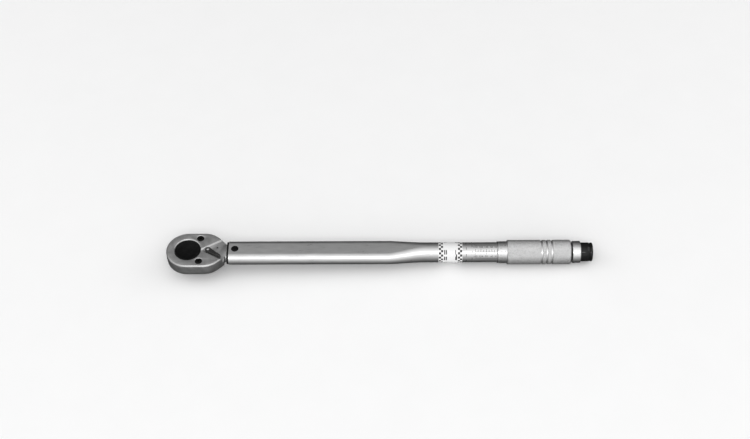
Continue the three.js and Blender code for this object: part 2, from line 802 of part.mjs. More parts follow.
function adjustingScrew() {
  const shape = turned(
    [
      [screwRear, screwBore],
      [screwRear, screwTailRadius],
      [webFront - seatGap, screwTailRadius],
      [webFront - seatGap, screwThreadRadius],
      [screwFront + screwChamfer, screwThreadRadius],
      [screwFront, screwThreadRadius - screwChamfer],
      [screwFront, screwBore],
      [screwRear, screwBore],
    ],
    32,
  ).subtract(ball(thrustBallRadius + seatGap).translate(thrustBallX, 0, 0));
  return piece("adjusting_screw", shape, brightSteel);
}

function tubeNut() {
  const shape = turned(
    [
      [tubeRear, screwThreadRadius + slideGap],
      [tubeRear, boreRadius - fitGap],
      [nutFront, boreRadius - fitGap],
      [nutFront, screwThreadRadius + slideGap],
      [tubeRear, screwThreadRadius + slideGap],
    ],
    32,
  );
  const pinHole = post(screwThreadRadius, boreRadius, nutPinRadius + fitGap, 16);
  return piece("tube_nut", shape.subtract(pinHole.translate(nutPinX, 0, 0)), brass);
}

function nutPin() {
  const bottom = screwThreadRadius + 2 * slideGap;
  const shape = post(bottom, tubeRadius - nutPinSunk, nutPinRadius, 16);
  const mesh = piece("nut_pin", shape, brightSteel);
  mesh.position.x = nutPinX;
  return mesh;
}

// ---------------------------------------------------------------- handle

function handle() {
  const thimbleRadius = handleBore + thimbleWall;
  const gripFront = thimbleFront + thimbleLength;
  const grooves = [];
  for (let i = 0; i < grooveCount; i++) {
    const rear = handleRear - grooveFromRear - i * groovePitch + grooveWidth / 2;
    const front = rear - grooveWidth;
    grooves.push(
      [rear, gripRadius],
      [rear - grooveDepth / 2, gripRadius - grooveDepth],
      [front + grooveDepth / 2, gripRadius - grooveDepth],
      [front, gripRadius],
    );
  }
  const tailHole = screwTailRadius + fitGap;
  const shape = turned([
    [handleRear, socketRadius],
    [handleRear, gripRadius - gripChamfer],
    [handleRear - gripChamfer, gripRadius],
    ...grooves,
    [gripFront + gripChamfer, gripRadius],
    [gripFront, gripRadius - gripChamfer],
    [gripFront, thimbleRadius],
    [thimbleFront + thimbleBevel, thimbleRadius],
    [thimbleFront, handleBore + thimbleWall / 3],
    [thimbleFront, handleBore],
    [webFront, handleBore],
    [webFront, tailHole],
    [webRear, tailHole],
    [webRear, socketRadius],
    [handleRear, socketRadius],
  ]);
  return piece("handle", shape, knurledChrome);
}

function ring(front, rear, inner, outer, sides = 32) {
  return turned([[rear, inner], [rear, outer], [front, outer], [front, inner], [rear, inner]], sides);
}

function handleWasher() {
  const shape = ring(0, washerThickness, screwTailRadius + fitGap, washerRadius);
  const mesh = piece("handle_washer", shape, brightSteel);
  mesh.position.x = washerFront;
  return mesh;
}

function handleNut() {
  const corner = handleNutAcross / Math.sqrt(3);
  const shape = rod(0, handleNutHeight, corner, 6)
    .subtract(rod(-cutPast, handleNutHeight + cutPast, screwTailRadius + fitGap, 24));
  const mesh = piece("handle_nut", shape, brightSteel);
  mesh.position.x = handleNutFront;
  return mesh;
}

// ---------------------------------------------------------------- end collar and lock

function endCollar() {
  const spigotFront = handleNutFront;
  const threadHole = lockThreadRadius + slideGap;
  const shape = turned([
    [collarRear, threadHole],
    [collarRear, collarRadius - collarChamfer],
    [collarRear - collarChamfer, collarRadius],
    [collarFront + collarChamfer, collarRadius],
    [collarFront, collarRadius - collarChamfer],
    [collarFront, socketRadius - fitGap],
    [spigotFront, socketRadius - fitGap],
    [spigotFront, collarHollowRadius],
    [collarHollowEnd, collarHollowRadius],
    [collarHollowEnd, threadHole],
    [collarRear, threadHole],
  ]);
  return piece("end_collar", shape, polishedChrome);
}

function lockKnob() {
  const rear = knobFront + knobLength;
  const grooveRear = rear - knobLip;
  const grooveFront = grooveRear - knobGrooveWidth;
  const socketRear = knobFront + knobSocketDepth;
  const lipRound = knobLip / 2;
  const lip = [10, 30, 55, 80].map((angle) => [
    rear - lipRound + lipRound * Math.sin(angle * degree),
    knobRadius - lipRound + lipRound * Math.cos(angle * degree),
  ]);
  const shape = turned([
    [rear, 0],
    ...lip.reverse(),
    [grooveRear, knobRadius],
    [grooveRear, knobRadius - knobGrooveDepth],
    [grooveFront, knobRadius - knobGrooveDepth],
    [grooveFront, knobRadius],
    [knobFront + knobChamfer, knobRadius],
    [knobFront, knobRadius - knobChamfer],
    [knobFront, lockThreadRadius + fitGap],
    [socketRear, lockThreadRadius + fitGap],
    [socketRear, 0],
  ]);
  return piece("lock_knob", shape, blackPlastic);
}

function lockRod() {
  const shape = turned(
    [
      [rodRear, 0],
      [rodRear, lockThreadRadius],
      [rodThreadFront, lockThreadRadius],
      [rodThreadFront, lockRodRadius],
      [rodFront, lockRodRadius],
      [rodFront, 0],
    ],
    24,
  );
  return piece("lock_rod", shape, brightSteel);
}

const lockPlug = () => piece("lock_plug", rod(plugFront, plugRear, lockRodRadius, 16), whiteNylon);

// ---------------------------------------------------------------- assembly

const wrench = new THREE.Group();
wrench.position.z = axisHeight;

const head = new THREE.Group();
head.add(ratchetHead(), coverPlate(), ...coverScrews(), selector(), pawl());
head.add(driveGear(), detentBall(), detentSpring());

const body = new THREE.Group();
body.add(neckSeal(), tube(), pivotPin(), clickBlock(), plunger(), mainSpring());
body.add(springSeat(), thrustBall(), tubeNut(), nutPin());

const grip = new THREE.Group();
grip.add(adjustingScrew(), handle(), handleWasher(), handleNut(), endCollar());
grip.add(lockKnob(), lockRod(), lockPlug());

wrench.add(head, body, grip);

export default wrench;
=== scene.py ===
import math
import bmesh
import bpy
from mathutils import Matrix, Vector


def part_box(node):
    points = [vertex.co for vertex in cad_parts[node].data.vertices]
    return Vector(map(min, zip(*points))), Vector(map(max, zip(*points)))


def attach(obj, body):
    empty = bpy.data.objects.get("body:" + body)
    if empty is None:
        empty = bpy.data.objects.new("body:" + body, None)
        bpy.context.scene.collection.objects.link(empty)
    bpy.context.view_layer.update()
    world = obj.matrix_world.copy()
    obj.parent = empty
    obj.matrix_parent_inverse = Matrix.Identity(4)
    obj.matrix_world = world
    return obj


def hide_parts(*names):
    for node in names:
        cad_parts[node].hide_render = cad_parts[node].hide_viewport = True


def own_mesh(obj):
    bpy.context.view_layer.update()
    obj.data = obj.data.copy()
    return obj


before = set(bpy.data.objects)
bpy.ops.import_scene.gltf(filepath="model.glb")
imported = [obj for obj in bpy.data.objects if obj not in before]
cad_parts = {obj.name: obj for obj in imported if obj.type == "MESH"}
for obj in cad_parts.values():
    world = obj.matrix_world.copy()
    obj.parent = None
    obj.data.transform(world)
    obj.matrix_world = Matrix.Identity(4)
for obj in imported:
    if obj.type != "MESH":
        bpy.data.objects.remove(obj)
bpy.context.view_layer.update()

# ------------------------------------------------------------------ head forging
# Drop-forged alloy steel: the oval ratchet box, its neck and the long tang in one piece.
# The lever face is ground flat, the edges are chamfered and the whole is satin plated.

MM = 0.001


def span(node):
    """A node's lowest and highest corners, in millimetres."""
    low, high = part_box(node)
    return Vector(low) / MM, Vector(high) / MM


def centre(node):
    """The middle of a node, in millimetres."""
    low, high = span(node)
    return (low + high) / 2


def half_height(node):
    low, high = span(node)
    return (high.z - low.z) / 2


axis_z = centre("tube").z
face_z = span("ratchet_head")[1].z
drive_face_z = span("ratchet_head")[0].z
head_radius = span("ratchet_head")[1].y
gear_radius = span("drive_gear")[1].x
pin_x = centre("pivot_pin").x
head_stretch = 17.5
head_end = head_stretch + head_radius - 0.8
cam_x = centre("selector_cam").x
neck_height = 5.5
neck_width = 10.7
pawl_x = 17.0
pawl_pin_hole = 1.4
shank_hole = 2.2
cover_screws = ("cover_screw_1", "cover_screw_2")
fan_floor = face_z - 1.7
journal_bore = 14.15
tang_end = span("ratchet_head")[1].x


def arc(centre_x, centre_y, radius, start, end, steps):
    """Points along an arc, angles in degrees."""
    angles = [math.radians(start + (end - start) * i / steps) for i in range(steps + 1)]
    return [(centre_x + radius * math.cos(a), centre_y + radius * math.sin(a)) for a in angles]


def circle(radius, sides, x=0, y=0):
    return arc(x, y, radius, 0, 360, sides)[:-1]


def smooth(mesh, sharp):
    """Smooth shading, broken at edges sharper than the given angle."""
    mesh.shade_smooth()
    mesh.set_sharp_from_angle(angle=math.radians(sharp))


def finish_piece(name, bm, sharp=32):
    """A piece from a mesh drawn in millimetres, with smooth shading up to the given angle."""
    bmesh.ops.remove_doubles(bm, verts=bm.verts, dist=1e-4)
    bmesh.ops.recalc_face_normals(bm, faces=bm.faces)
    bmesh.ops.scale(bm, vec=(MM, MM, MM), verts=bm.verts)
    mesh = bpy.data.meshes.new(name)
    bm.to_mesh(mesh)
    bm.free()
    smooth(mesh, sharp)
    piece = bpy.data.objects.new(name, mesh)
    bpy.context.scene.collection.objects.link(piece)
    return piece


def skin(rings, closed=False, bm=None):
    """A mesh over rings of points that match one to one, with its two ends closed.

    With bm given, the rings are added to that mesh."""
    bm = bm or bmesh.new()
    rows = [[bm.verts.new(p) for p in ring] for ring in rings]
    count = len(rows[0])
    pairs = list(zip(rows, rows[1:]))
    if closed:
        pairs.append((rows[-1], rows[0]))
    for near, far in pairs:
        for j in range(count):
            k = (j + 1) % count
            bm.faces.new((near[j], near[k], far[k], far[j]))
    if not closed:
        bm.faces.new(rows[0][::-1])
        bm.faces.new(rows[-1])
    return bm


def stack(name, shape, levels, sharp=32):
    """An upright piece whose outline is shape(value) at each (height, value) level."""
    rings = [[(x, y, z) for x, y in shape(value)] for z, value in levels]
    return finish_piece(name, skin(rings), sharp)


def slab(name, outline, low, high):
    """An upright plate of an outline, between two heights."""
    return stack(name, lambda _: outline, ((low, 0), (high, 0)))


def post(name, x, y, radius, low, high, sides=72):
    """An upright cylinder, used for cutting holes."""
    return slab(name, circle(radius, sides, x, y), low, high)


def settle(piece):
    """Turns a piece's modifiers into its own mesh."""
    bpy.context.view_layer.update()
    graph = bpy.context.evaluated_depsgraph_get()
    made = bpy.data.meshes.new_from_object(piece.evaluated_get(graph))
    piece.modifiers.clear()
    piece.data = made


def machine(piece, *tools, way="DIFFERENCE"):
    """Cuts the tools out of a piece, or joins them to it with way UNION."""
    for tool in tools:
        step = piece.modifiers.new("machine", "BOOLEAN")
        step.operation = way
        step.solver = "EXACT"
        step.object = tool
    settle(piece)
    for tool in tools:
        bpy.data.objects.remove(tool)


def break_edges(piece, width, chosen, segments=2, sharp=32):
    """Rounds the sharp edges whose middle point, in millimetres, is chosen."""
    bm = bmesh.new()
    bm.from_mesh(piece.data)
    bmesh.ops.remove_doubles(bm, verts=bm.verts, dist=2e-6)
    bmesh.ops.dissolve_degenerate(bm, edges=bm.edges, dist=2e-6)
    weight = bm.edges.layers.float.new("bevel_weight_edge")
    for edge in bm.edges:
        if len(edge.link_faces) == 2 and edge.calc_face_angle() > math.radians(25):
            middle = (edge.verts[0].co + edge.verts[1].co) / 2 / MM
            edge[weight] = 1.0 if chosen(middle) else 0.0
    bm.to_mesh(piece.data)
    bm.free()
    step = piece.modifiers.new("edges", "BEVEL")
    step.limit_method = "WEIGHT"
    step.width = width * MM
    step.segments = segments
    step.use_clamp_overlap = True
    settle(piece)
    smooth(piece.data, sharp)


class Finish:
    """A surface finish: a metal, plastic or rubber with its grain, marks and fine relief."""

    def __init__(self, name, roughness, metallic, **sockets):
        self.material = bpy.data.materials.new(name)
        self.material.use_nodes = True
        self.nodes = self.material.node_tree.nodes
        self.links = self.material.node_tree.links
        self.shader = self.nodes["Principled BSDF"]
        self.shader.inputs["Metallic"].default_value = metallic
        self.shader.inputs["Roughness"].default_value = roughness
        for socket, value in sockets.items():
            self.shader.inputs[socket.replace("_", " ")].default_value = value
        self.place = self.nodes.new("ShaderNodeTexCoord").outputs["Object"]

    def grain(self, scale, stretch=(1, 1, 1), detail=4, roughness=0.6):
        """Noise with about "scale" grains to a millimetre, drawn out along the axes."""
        mapping = self.nodes.new("ShaderNodeMapping")
        mapping.inputs["Scale"].default_value = [1000 * scale * s for s in stretch]
        self.links.new(self.place, mapping.inputs["Vector"])
        noise = self.nodes.new("ShaderNodeTexNoise")
        noise.inputs["Scale"].default_value = 1
        noise.inputs["Detail"].default_value = detail
        noise.inputs["Roughness"].default_value = roughness
        self.links.new(mapping.outputs["Vector"], noise.inputs["Vector"])
        return noise.outputs["Fac"]

    def remap(self, value, low, high, out_low, out_high):
        node = self.nodes.new("ShaderNodeMapRange")
        node.inputs["From Min"].default_value = low
        node.inputs["From Max"].default_value = high
        node.inputs["To Min"].default_value = out_low
        node.inputs["To Max"].default_value = out_high
        self.links.new(value, node.inputs["Value"])
        return node.outputs["Result"]

    def combine(self, first, second, operation):
        node = self.nodes.new("ShaderNodeMath")
        node.operation = operation
        for source, socket in ((first, node.inputs[0]), (second, node.inputs[1])):
            if isinstance(source, (int, float)):
                socket.default_value = source
            else:
                self.links.new(source, socket)
        return node.outputs["Value"]

    def mix(self, first, share, second):
        """Two values added, the first with the given share and the second with the rest."""
        parts = [self.combine(v, part, "MULTIPLY") for v, part in ((first, share), (second, 1 - share))]
        return self.combine(*parts, "ADD")

    def colour(self, value, *stops):
        """The surface colour from a value, by (position, grey or colour) stops."""
        ramp = self.nodes.new("ShaderNodeValToRGB")
        elements = ramp.color_ramp.elements
        while len(elements) < len(stops):
            elements.new(0.5)
        for element, (position, shade) in zip(elements, stops):
            element.position = position
            rgb = (shade,) * 3 if isinstance(shade, (int, float)) else shade
            element.color = (*rgb, 1)
        self.links.new(value, ramp.inputs["Fac"])
        self.links.new(ramp.outputs["Color"], self.shader.inputs["Base Color"])
        return ramp.outputs["Color"]

    def rough(self, value):
        self.links.new(value, self.shader.inputs["Roughness"])

    def relief(self, *layers):
        """Fine relief: (height value, depth in millimetres) layers, the finest last."""
        normal = None
        for height, depth in layers:
            bump = self.nodes.new("ShaderNodeBump")
            bump.inputs["Strength"].default_value = 1
            bump.inputs["Distance"].default_value = depth * MM
            self.links.new(height, bump.inputs["Height"])
            if normal:
                self.links.new(normal, bump.inputs["Normal"])
            normal = bump.outputs["Normal"]
        self.links.new(normal, self.shader.inputs["Normal"])

    def worn_edges(self, width, amount):
        """A value that rises to "amount" where the surface turns a tight corner."""
        bevel = self.nodes.new("ShaderNodeBevel")
        bevel.samples = 4
        bevel.inputs["Radius"].default_value = width * MM
        plain = self.nodes.new("ShaderNodeNewGeometry").outputs["Normal"]
        dot = self.nodes.new("ShaderNodeVectorMath")
        dot.operation = "DOT_PRODUCT"
        self.links.new(bevel.outputs["Normal"], dot.inputs[0])
        self.links.new(plain, dot.inputs[1])
        return self.remap(dot.outputs["Value"], 0.98, 0.8, 0, amount)


def one_grain(name, shine, metallic, grain, tones, roughness, depth, **sockets):
    """A finish whose colour, roughness and relief all follow one grain."""
    made = Finish(name, shine, metallic, **sockets)
    value = made.grain(**grain)
    made.colour(value, *tones)
    made.rough(made.remap(value, 0.3, 0.7, *roughness))
    made.relief((value, depth))
    return made.material


def plated_forging():
    """Satin plate over a tumbled forging: fine pitting and cloudy patches."""
    steel = Finish("plated_forging", 0.42, 1.0)
    cloud = steel.grain(0.16, detail=5)
    speck = steel.grain(2.2, detail=3)
    mixed = steel.mix(cloud, 0.55, speck)
    steel.colour(mixed, (0.3, 0.36), (0.5, 0.46), (0.72, 0.56))
    steel.rough(steel.remap(mixed, 0.3, 0.75, 0.36, 0.56))
    steel.relief((cloud, 0.05), (speck, 0.035))
    return steel.material


def head_outline(inset=0.0):
    """The head seen from the lever side: two round ends, cut to 45 degree shoulders."""
    radius = head_radius - inset
    end = head_end - inset
    root = radius * math.sin(math.radians(45))
    half = root - (end - head_stretch - root)
    return (
        arc(0, 0, radius, 90, 270, 60)
        + arc(head_stretch, 0, radius, -90, -45, 18)
        + [(end, -half), (end, half)]
        + arc(head_stretch, 0, radius, 45, 90, 18)
    )


def oval(x, half_height, half_width, sides=48):
    """A section across the wrench: two half circles joined by flats."""
    shift = half_width - half_height
    right = arc(shift, 0, half_height, -90, 90, sides // 2)
    left = arc(-shift, 0, half_height, 90, 270, sides // 2)
    return [(x, y, axis_z + z) for y, z in right + left]


def fit(piece, material, node, body):
    """Gives a piece its finish, puts it in a node's place and lets it move with a body."""
    piece.data.materials.append(material)
    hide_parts(node)
    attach(piece, body)


def forge_head():
    """The head's solid shape, before the ratchet's pocket is machined."""
    profile = [(3.4, 0), (1.9, 0.35), (0.95, 1.05), (0.5, 2.2), (0.22, 5.0), (0.0, 8.0), (0.08, 12.0)]
    levels = [(drive_face_z + height, inset) for inset, height in profile]
    levels += [(face_z - 1.35, 0.16), (face_z - 1.12, 0.32), (face_z - 0.2, 1.2), (face_z, 1.45)]
    box = stack("head_forging", head_outline, levels)
    bar_start = pin_x + 8.8
    sections = [
        (head_end - 9, neck_height + 0.8, neck_width + 2.0),
        (head_end - 0.2, neck_height + 0.8, neck_width + 2.0),
        (head_end + 0.35, neck_height + 0.4, neck_width + 0.9),
        (head_end + 1.2, neck_height + 0.12, neck_width + 0.15),
        (head_end + 1.8, neck_height, neck_width),
        (bar_start, neck_height, neck_width),
        (bar_start + 2 * neck_width, neck_height, neck_height + 1.6),
        (tang_end - 10, 4.4, 4.42),
    ]
    neck = finish_piece("neck", skin([oval(*section) for section in sections]))
    tip = [(tang_end - 12, y, axis_z + z) for y, z in ((-4, -4), (4, -4), (4, 4), (-4, 4))]
    tip = finish_piece("tang_tip", skin([tip, [(tang_end, y, z) for _, y, z in tip]]))
    machine(box, neck, tip, way="UNION")
    return box


def fan(reach, spread):
    """The lever's fan-shaped recess, opened outwards by "spread"."""
    half = math.radians(31)
    apex = cam_x - 7 - spread / math.sin(half)
    wide = (reach - apex) * math.tan(half)
    return [(apex, 0), (reach, -wide), (reach, wide)]


def arrow(side, inset=0.0):
    """A small arrow on the recess floor that points to one side, drawn in by "inset"."""
    foot = side * (3.0 + inset * 2 / 3)
    outline = [(30.9 + inset, foot), (33.9 - inset, foot), (32.4, side * (5.2 - inset))]
    return outline[::side]


def machine_head(head):
    """The ratchet's pocket, the lever's recess, the pin hole and the screw holes."""
    roof = axis_z + 2
    seat = drive_face_z + 2.8
    pocket = arc(0, 0, 19.1, -42, 42, 40) + arc(0, 0, 13.9, 42, -42, 40)
    plate_seat = arc(0, 0, head_radius - 2, 90, 270, 60) + arc(10, 0, head_radius - 2, -90, 90, 60)
    low_fan = [(x, y, fan_floor) for x, y in fan(head_end + 2, 0.0)]
    high_fan = [(x, y, face_z + 1.0) for x, y in fan(head_end + 2, 2.7 * 0.8)]
    mouth = ((face_z - 1.0, journal_bore), (face_z + 1, journal_bore + 2))
    tools = [
        slab("plate_seat", plate_seat, drive_face_z - 1, seat),
        post("gear_pocket", 0, 0, 16.1, drive_face_z, roof, 96),
        post("journal_bore", 0, 0, journal_bore, axis_z, face_z + 1, 96),
        stack("mouth", lambda r: circle(r, 96), mouth),
        slab("pawl_pocket", pocket, drive_face_z, roof),
        post("cam_bore", cam_x, 0, 4.45, drive_face_z, roof),
        post("ball_track", cam_x, 0, 5.4, drive_face_z, axis_z - 0.7),
        post("cam_journal", cam_x, 0, 2.85, axis_z, face_z),
        post("pawl_pivot", pawl_x, 0, pawl_pin_hole, axis_z, roof + 1.8, 40),
        finish_piece("fan", skin([low_fan, high_fan])),
        post("pin_hole", pin_x, 0, 4.25, drive_face_z, face_z),
    ]
    screw_hole = 3.95
    for node in cover_screws:
        x, y, _ = centre(node)
        rim = ((face_z - 0.45, screw_hole), (face_z + 0.6, screw_hole + 1.05))
        tools += [
            post("shank_hole", x, y, shank_hole, drive_face_z, face_z, 40),
            post("head_hole", x, y, screw_hole, face_z - 2.7, face_z + 1, 60),
            stack("head_sink", lambda r, x=x, y=y: circle(r, 60, x, y), rim),
        ]
    for side in (1, -1):
        tools.append(slab("stamped_arrow", arrow(side), fan_floor - 0.45, fan_floor + 1))
    machine(head, *tools)


head = forge_head()
machine_head(head)
break_edges(head, 0.22, lambda p: p.z > face_z - 2.6 and p.x < head_end + 1)
fit(head, plated_forging(), "ratchet_head", "head")


def black_fill():
    """Black enamel wiped into engraving: matt, a little uneven. The same black also paints a shadow line
    round the thimble's front edge.
    """
    grain = dict(scale=3.0, detail=3)
    tones = ((0.3, 0.012), (0.62, 0.03), (0.8, 0.1))
    return one_grain("black_fill", 0.6, 0.0, grain, tones, (0.45, 0.7), 0.01)


fill_and_shade_black = black_fill()


def ink(piece, body):
    """Gives a piece the black of filled engraving, or of a painted shadow line, and lets it move with a
    body.
    """
    piece.data.materials.append(fill_and_shade_black)
    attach(piece, body)


# Black triangles laid in the floor of the two stamped arrows make them show dark.
marks = bmesh.new()
for side in (1, -1):
    skin([[(x, y, fan_floor - z) for x, y in arrow(side, 0.15)] for z in (0.4, 0.12)], bm=marks)
head_marks = finish_piece("head_marks", marks)
ink(head_marks, "head")

# ------------------------------------------------------------------ drive wheel and square
# One turned and milled steel piece: the toothed ratchet wheel between two journals, its flat
# face showing on the lever side, and the drive square below. It is blackened in an oil bath.

square_half = 6.35
square_round = 0.9
square_chamfer = 0.8
wheel_low = axis_z - 6.7
wheel_high = axis_z + 1.7
tooth_count = 36
tooth_tip = gear_radius
tooth_root = gear_radius - 1.2
disc_radius = 13.9
collar_radius = 10.98


def turned_upright(name, outline, x=0, y=0, sides=96, sharp=32):
    """A piece turned about an upright axis, from (height, radius) points."""
    return stack(name, lambda radius: circle(radius, sides, x, y), outline, sharp)


def square_outline(inset):
    half = square_half - inset
    corner = square_round - inset * 0.5
    points = []
    for quarter, (sx, sy) in enumerate(((1, 1), (-1, 1), (-1, -1), (1, -1))):
        middle = (sx * (half - corner), sy * (half - corner))
        points += arc(*middle, corner, 90 * quarter, 90 * quarter + 90, 8)
    return points


def tooth_outline():
    pitch = 360 / tooth_count
    tooth = ((tooth_root, -0.42), (tooth_tip, -0.12), (tooth_tip, 0.12), (tooth_root, 0.42))
    points = []
    for i in range(tooth_count):
        for radius, share in tooth:
            angle = math.radians((i + share) * pitch)
            points.append((radius * math.cos(angle), radius * math.sin(angle)))
    return points


def blackened_steel():
    """Blackened steel: near black, with a satin bloom and a few brighter rubbed places."""
    steel = Finish("blackened_steel", 0.42, 0.85)
    cloud = steel.grain(0.25, detail=5)
    speck = steel.grain(3.0, detail=2)
    steel.colour(cloud, (0.3, 0.006), (0.6, 0.012), (0.8, 0.024))
    steel.rough(steel.remap(cloud, 0.3, 0.7, 0.36, 0.56))
    steel.relief((cloud, 0.02), (speck, 0.008))
    return steel.material


blackened = blackened_steel()
disc_top = span("drive_gear")[1].z
disc = [(axis_z, 0), (axis_z, disc_radius), (disc_top - 0.4, disc_radius), (disc_top - 0.12, 13.78)]
disc += [(disc_top, 13.5), (disc_top, 12.6), (disc_top - 0.05, 12.5), (disc_top - 0.05, 0)]
drive_gear = slab("drive_wheel", tooth_outline(), wheel_low, wheel_high)
collar = [(drive_face_z - 0.3, 0), (drive_face_z - 0.3, 10.6), (drive_face_z, collar_radius)]
collar += [(wheel_low + 0.1, collar_radius), (wheel_low + 0.1, 0)]
square_rings = [(0.0, square_chamfer), (0.25, 0.35), (square_chamfer, 0.0), (drive_face_z + 2, 0.0)]
machine(
    drive_gear,
    turned_upright("disc", disc),
    turned_upright("collar", collar),
    stack("square", square_outline, square_rings),
    way="UNION",
)
ball_low = span("detent_ball")[0]
ball_middle = centre("detent_ball")
spring_floor = span("detent_spring")[1].y
hole_ring = circle(2.5, 48, 0, ball_middle.z)
hole = skin([[(x, y, z) for x, z in hole_ring] for y in (ball_low.y, spring_floor + 0.3)])
centre_mark = turned_upright("centre_mark", [(-0.5, 0), (-0.5, 2.1), (1.6, 0)], sides=40)
machine(drive_gear, finish_piece("ball_hole", hole), centre_mark)
smooth(drive_gear.data, 28)
fit(drive_gear, blackened, "drive_gear", "drive")

# ------------------------------------------------------------------ square's ball and spring
# A hardened ball holds the socket on the square. A small coil spring in the cross hole
# behind it lets it sink level with the flat, and a peened rim keeps it in.


def polished_steel():
    """Ground and polished steel with hair-fine scratches."""
    grain = dict(scale=1.5, stretch=(0.15, 2, 2), detail=3)
    tones = ((0.35, 0.52), (0.65, 0.68))
    return one_grain("polished_steel", 0.16, 1.0, grain, tones, (0.1, 0.26), 0.003)


def spring_wire():
    """Oil-tempered spring wire: dark grey with drawing lines."""
    grain = dict(scale=1.2, detail=4)
    tones = ((0.3, 0.07), (0.7, 0.14))
    return one_grain("spring_wire", 0.34, 0.95, grain, tones, (0.26, 0.46), 0.01)


polished = polished_steel()
tempered = spring_wire()


def steel_ball(name, middle, radius):
    outline = [(middle.z + z, r) for z, r in arc(0, 0, radius, 180, 0, 28)]
    outline = [(z, max(r, 0)) for z, r in outline]
    return turned_upright(name, outline, middle.x, middle.y, sides=48, sharp=60)


def coil_spring(name, start, along, length, radius, wire, turns, steps=32, sides=14):
    """Round wire wound along "along" from start, with one closed turn at each end."""
    along = Vector(along).normalized()
    across = along.orthogonal().normalized()
    third = along.cross(across)
    closed = 1.05 * wire
    pitch = (length - wire - 2 * closed) / (turns - 2)
    rings = []
    for i in range(turns * steps + 1):
        turn = i / steps
        ends = min(turn, 1) + max(turn - turns + 1, 0)
        middle = min(max(turn - 1, 0), turns - 2)
        travel = wire / 2 + ends * closed + middle * pitch
        out = across * math.cos(2 * math.pi * turn) + third * math.sin(2 * math.pi * turn)
        wire_middle = Vector(start) + along * travel + out * (radius - wire / 2)
        rings.append([wire_middle + out * a + along * b for a, b in circle(wire / 2, sides)])
    return finish_piece(name, skin(rings), 50)


detent_ball = steel_ball("detent_ball_fine", ball_middle, half_height("detent_ball"))
fit(detent_ball, polished, "detent_ball", "detent_ball")

detent_low = span("detent_spring")[0].y
detent_length = spring_floor - detent_low
detent_floor = Vector((0, spring_floor, ball_middle.z))
detent_spring = coil_spring("detent_coil", detent_floor, (0, -1, 0), detent_length, 2.0, 0.5, 5, 24, 8)
fit(detent_spring, tempered, "detent_spring", "drive")
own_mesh(detent_spring)

# ------------------------------------------------------------------ pawl
# A hardened rocker on a short pin. Its two toothed ends take turns in the wheel, one for
# each direction. It keeps the exact shape that meshes with the wheel, with its edges broken.


def grind(node, width, segments=1):
    """Polishes a piece kept in its exact shape and breaks its edges."""
    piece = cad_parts[node]
    piece.data.materials.clear()
    piece.data.materials.append(polished)
    edges = piece.modifiers.new("edges", "BEVEL")
    edges.width = width * MM
    edges.segments = segments
    edges.limit_method = "ANGLE"


grind("pawl", 0.05)

# ------------------------------------------------------------------ selector cam, ball and spring
# A turned post under the lever, with a cross hole for a ball and spring that push the pawl
# over to one side or the other. Its upper end is riveted over the lever as a bright spot.

cam_low, cam_high = span("selector_cam")
lever_turn = Matrix.Rotation(math.radians(-35), 3, "Z")
to_tail = lever_turn @ Vector((1, 0, 0))
cam_radius = 4.2
cam_journal = 2.6
cam_tip = 1.65
lever_low, lever_high = span("selector_lever")
lever_floor = lever_low.z
lever_thickness = 2.0
cam_outline = [
    (cam_low.z, 0),
    (cam_low.z, cam_journal - 0.3),
    (cam_low.z + 0.3, cam_journal),
    (wheel_low, cam_journal),
    (wheel_low, cam_radius - 0.25),
    (wheel_low + 0.25, cam_radius),
    (wheel_high - 0.25, cam_radius),
    (wheel_high, cam_radius - 0.25),
    (wheel_high, cam_journal),
    (lever_floor - 0.3, cam_journal),
    (lever_floor - 0.3, cam_tip),
    (lever_floor + lever_thickness + 0.1, cam_tip),
    (lever_floor + lever_thickness + 0.55, cam_tip - 0.2),
    (cam_high.z, cam_tip - 0.75),
    (cam_high.z, 0),
]
cam = turned_upright("cam_post", cam_outline, cam_x, 0, sides=72)
pawl_ball_middle = centre("pawl_ball")
pawl_ball_radius = half_height("pawl_ball")
cam_middle = Vector((cam_x, 0, pawl_ball_middle.z))
pawl_spring_length = 3.4
pawl_spring_floor = cam_middle + to_tail * 1.5
side_way = Vector((0, 0, 1)).cross(to_tail)
cross_ring = circle(pawl_ball_radius + 0.2, 40)
cross_ends = (cam_middle - to_tail * (cam_radius + 1), pawl_spring_floor + to_tail * 0.2)
cross_hole = skin([[end + side_way * a + Vector((0, 0, b)) for a, b in cross_ring] for end in cross_ends])
machine(cam, finish_piece("cross_hole", cross_hole))
smooth(cam.data, 28)
fit(cam, polished, "selector_cam", "selector")

pawl_ball = steel_ball("pawl_ball_fine", pawl_ball_middle, pawl_ball_radius)
fit(pawl_ball, polished, "pawl_ball", "pawl_ball")

pawl_spring = coil_spring("pawl_coil", pawl_spring_floor, -to_tail, pawl_spring_length, 1.3, 0.4, 5, 24, 8)
fit(pawl_spring, tempered, "pawl_spring", "selector")
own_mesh(pawl_spring)

# ------------------------------------------------------------------ cover plate
# A stamped and ground steel plate that closes the head from the drive side. It carries the
# wheel's lower journal and the cam, and the two screws from the lever side draw it in.

cover_low, cover_high = span("cover_plate")
cover_radius = cover_high.y
cover_stretch = cover_high.x - cover_radius


def cover_outline(inset):
    radius = cover_radius - inset
    return arc(0, 0, radius, 90, 270, 60) + arc(cover_stretch, 0, radius, -90, 90, 60)


cover_rings = [(cover_low.z, 0.5), (cover_low.z + 0.14, 0.15), (cover_low.z + 0.5, 0), (cover_high.z, 0)]
cover = stack("cover", cover_outline, cover_rings)
through = (cover_low.z - 1, cover_high.z + 1)
cover_holes = [
    post("journal_hole", 0, 0, collar_radius + 0.25, *through, 96),
    post("cam_hole", cam_x, 0, cam_journal + 0.25, *through),
    post("pawl_hole", pawl_x, 0, pawl_pin_hole, cover_low.z + 0.7, cover_high.z + 1, 40),
]
for node in cover_screws:
    x, y, _ = centre(node)
    cover_holes.append(post("screw_hole", x, y, shank_hole, *through, 40))
machine(cover, *cover_holes)
break_edges(cover, 0.18, lambda p: p.z < cover_low.z + 0.2)
fit(cover, plated_forging(), "cover_plate", "head")

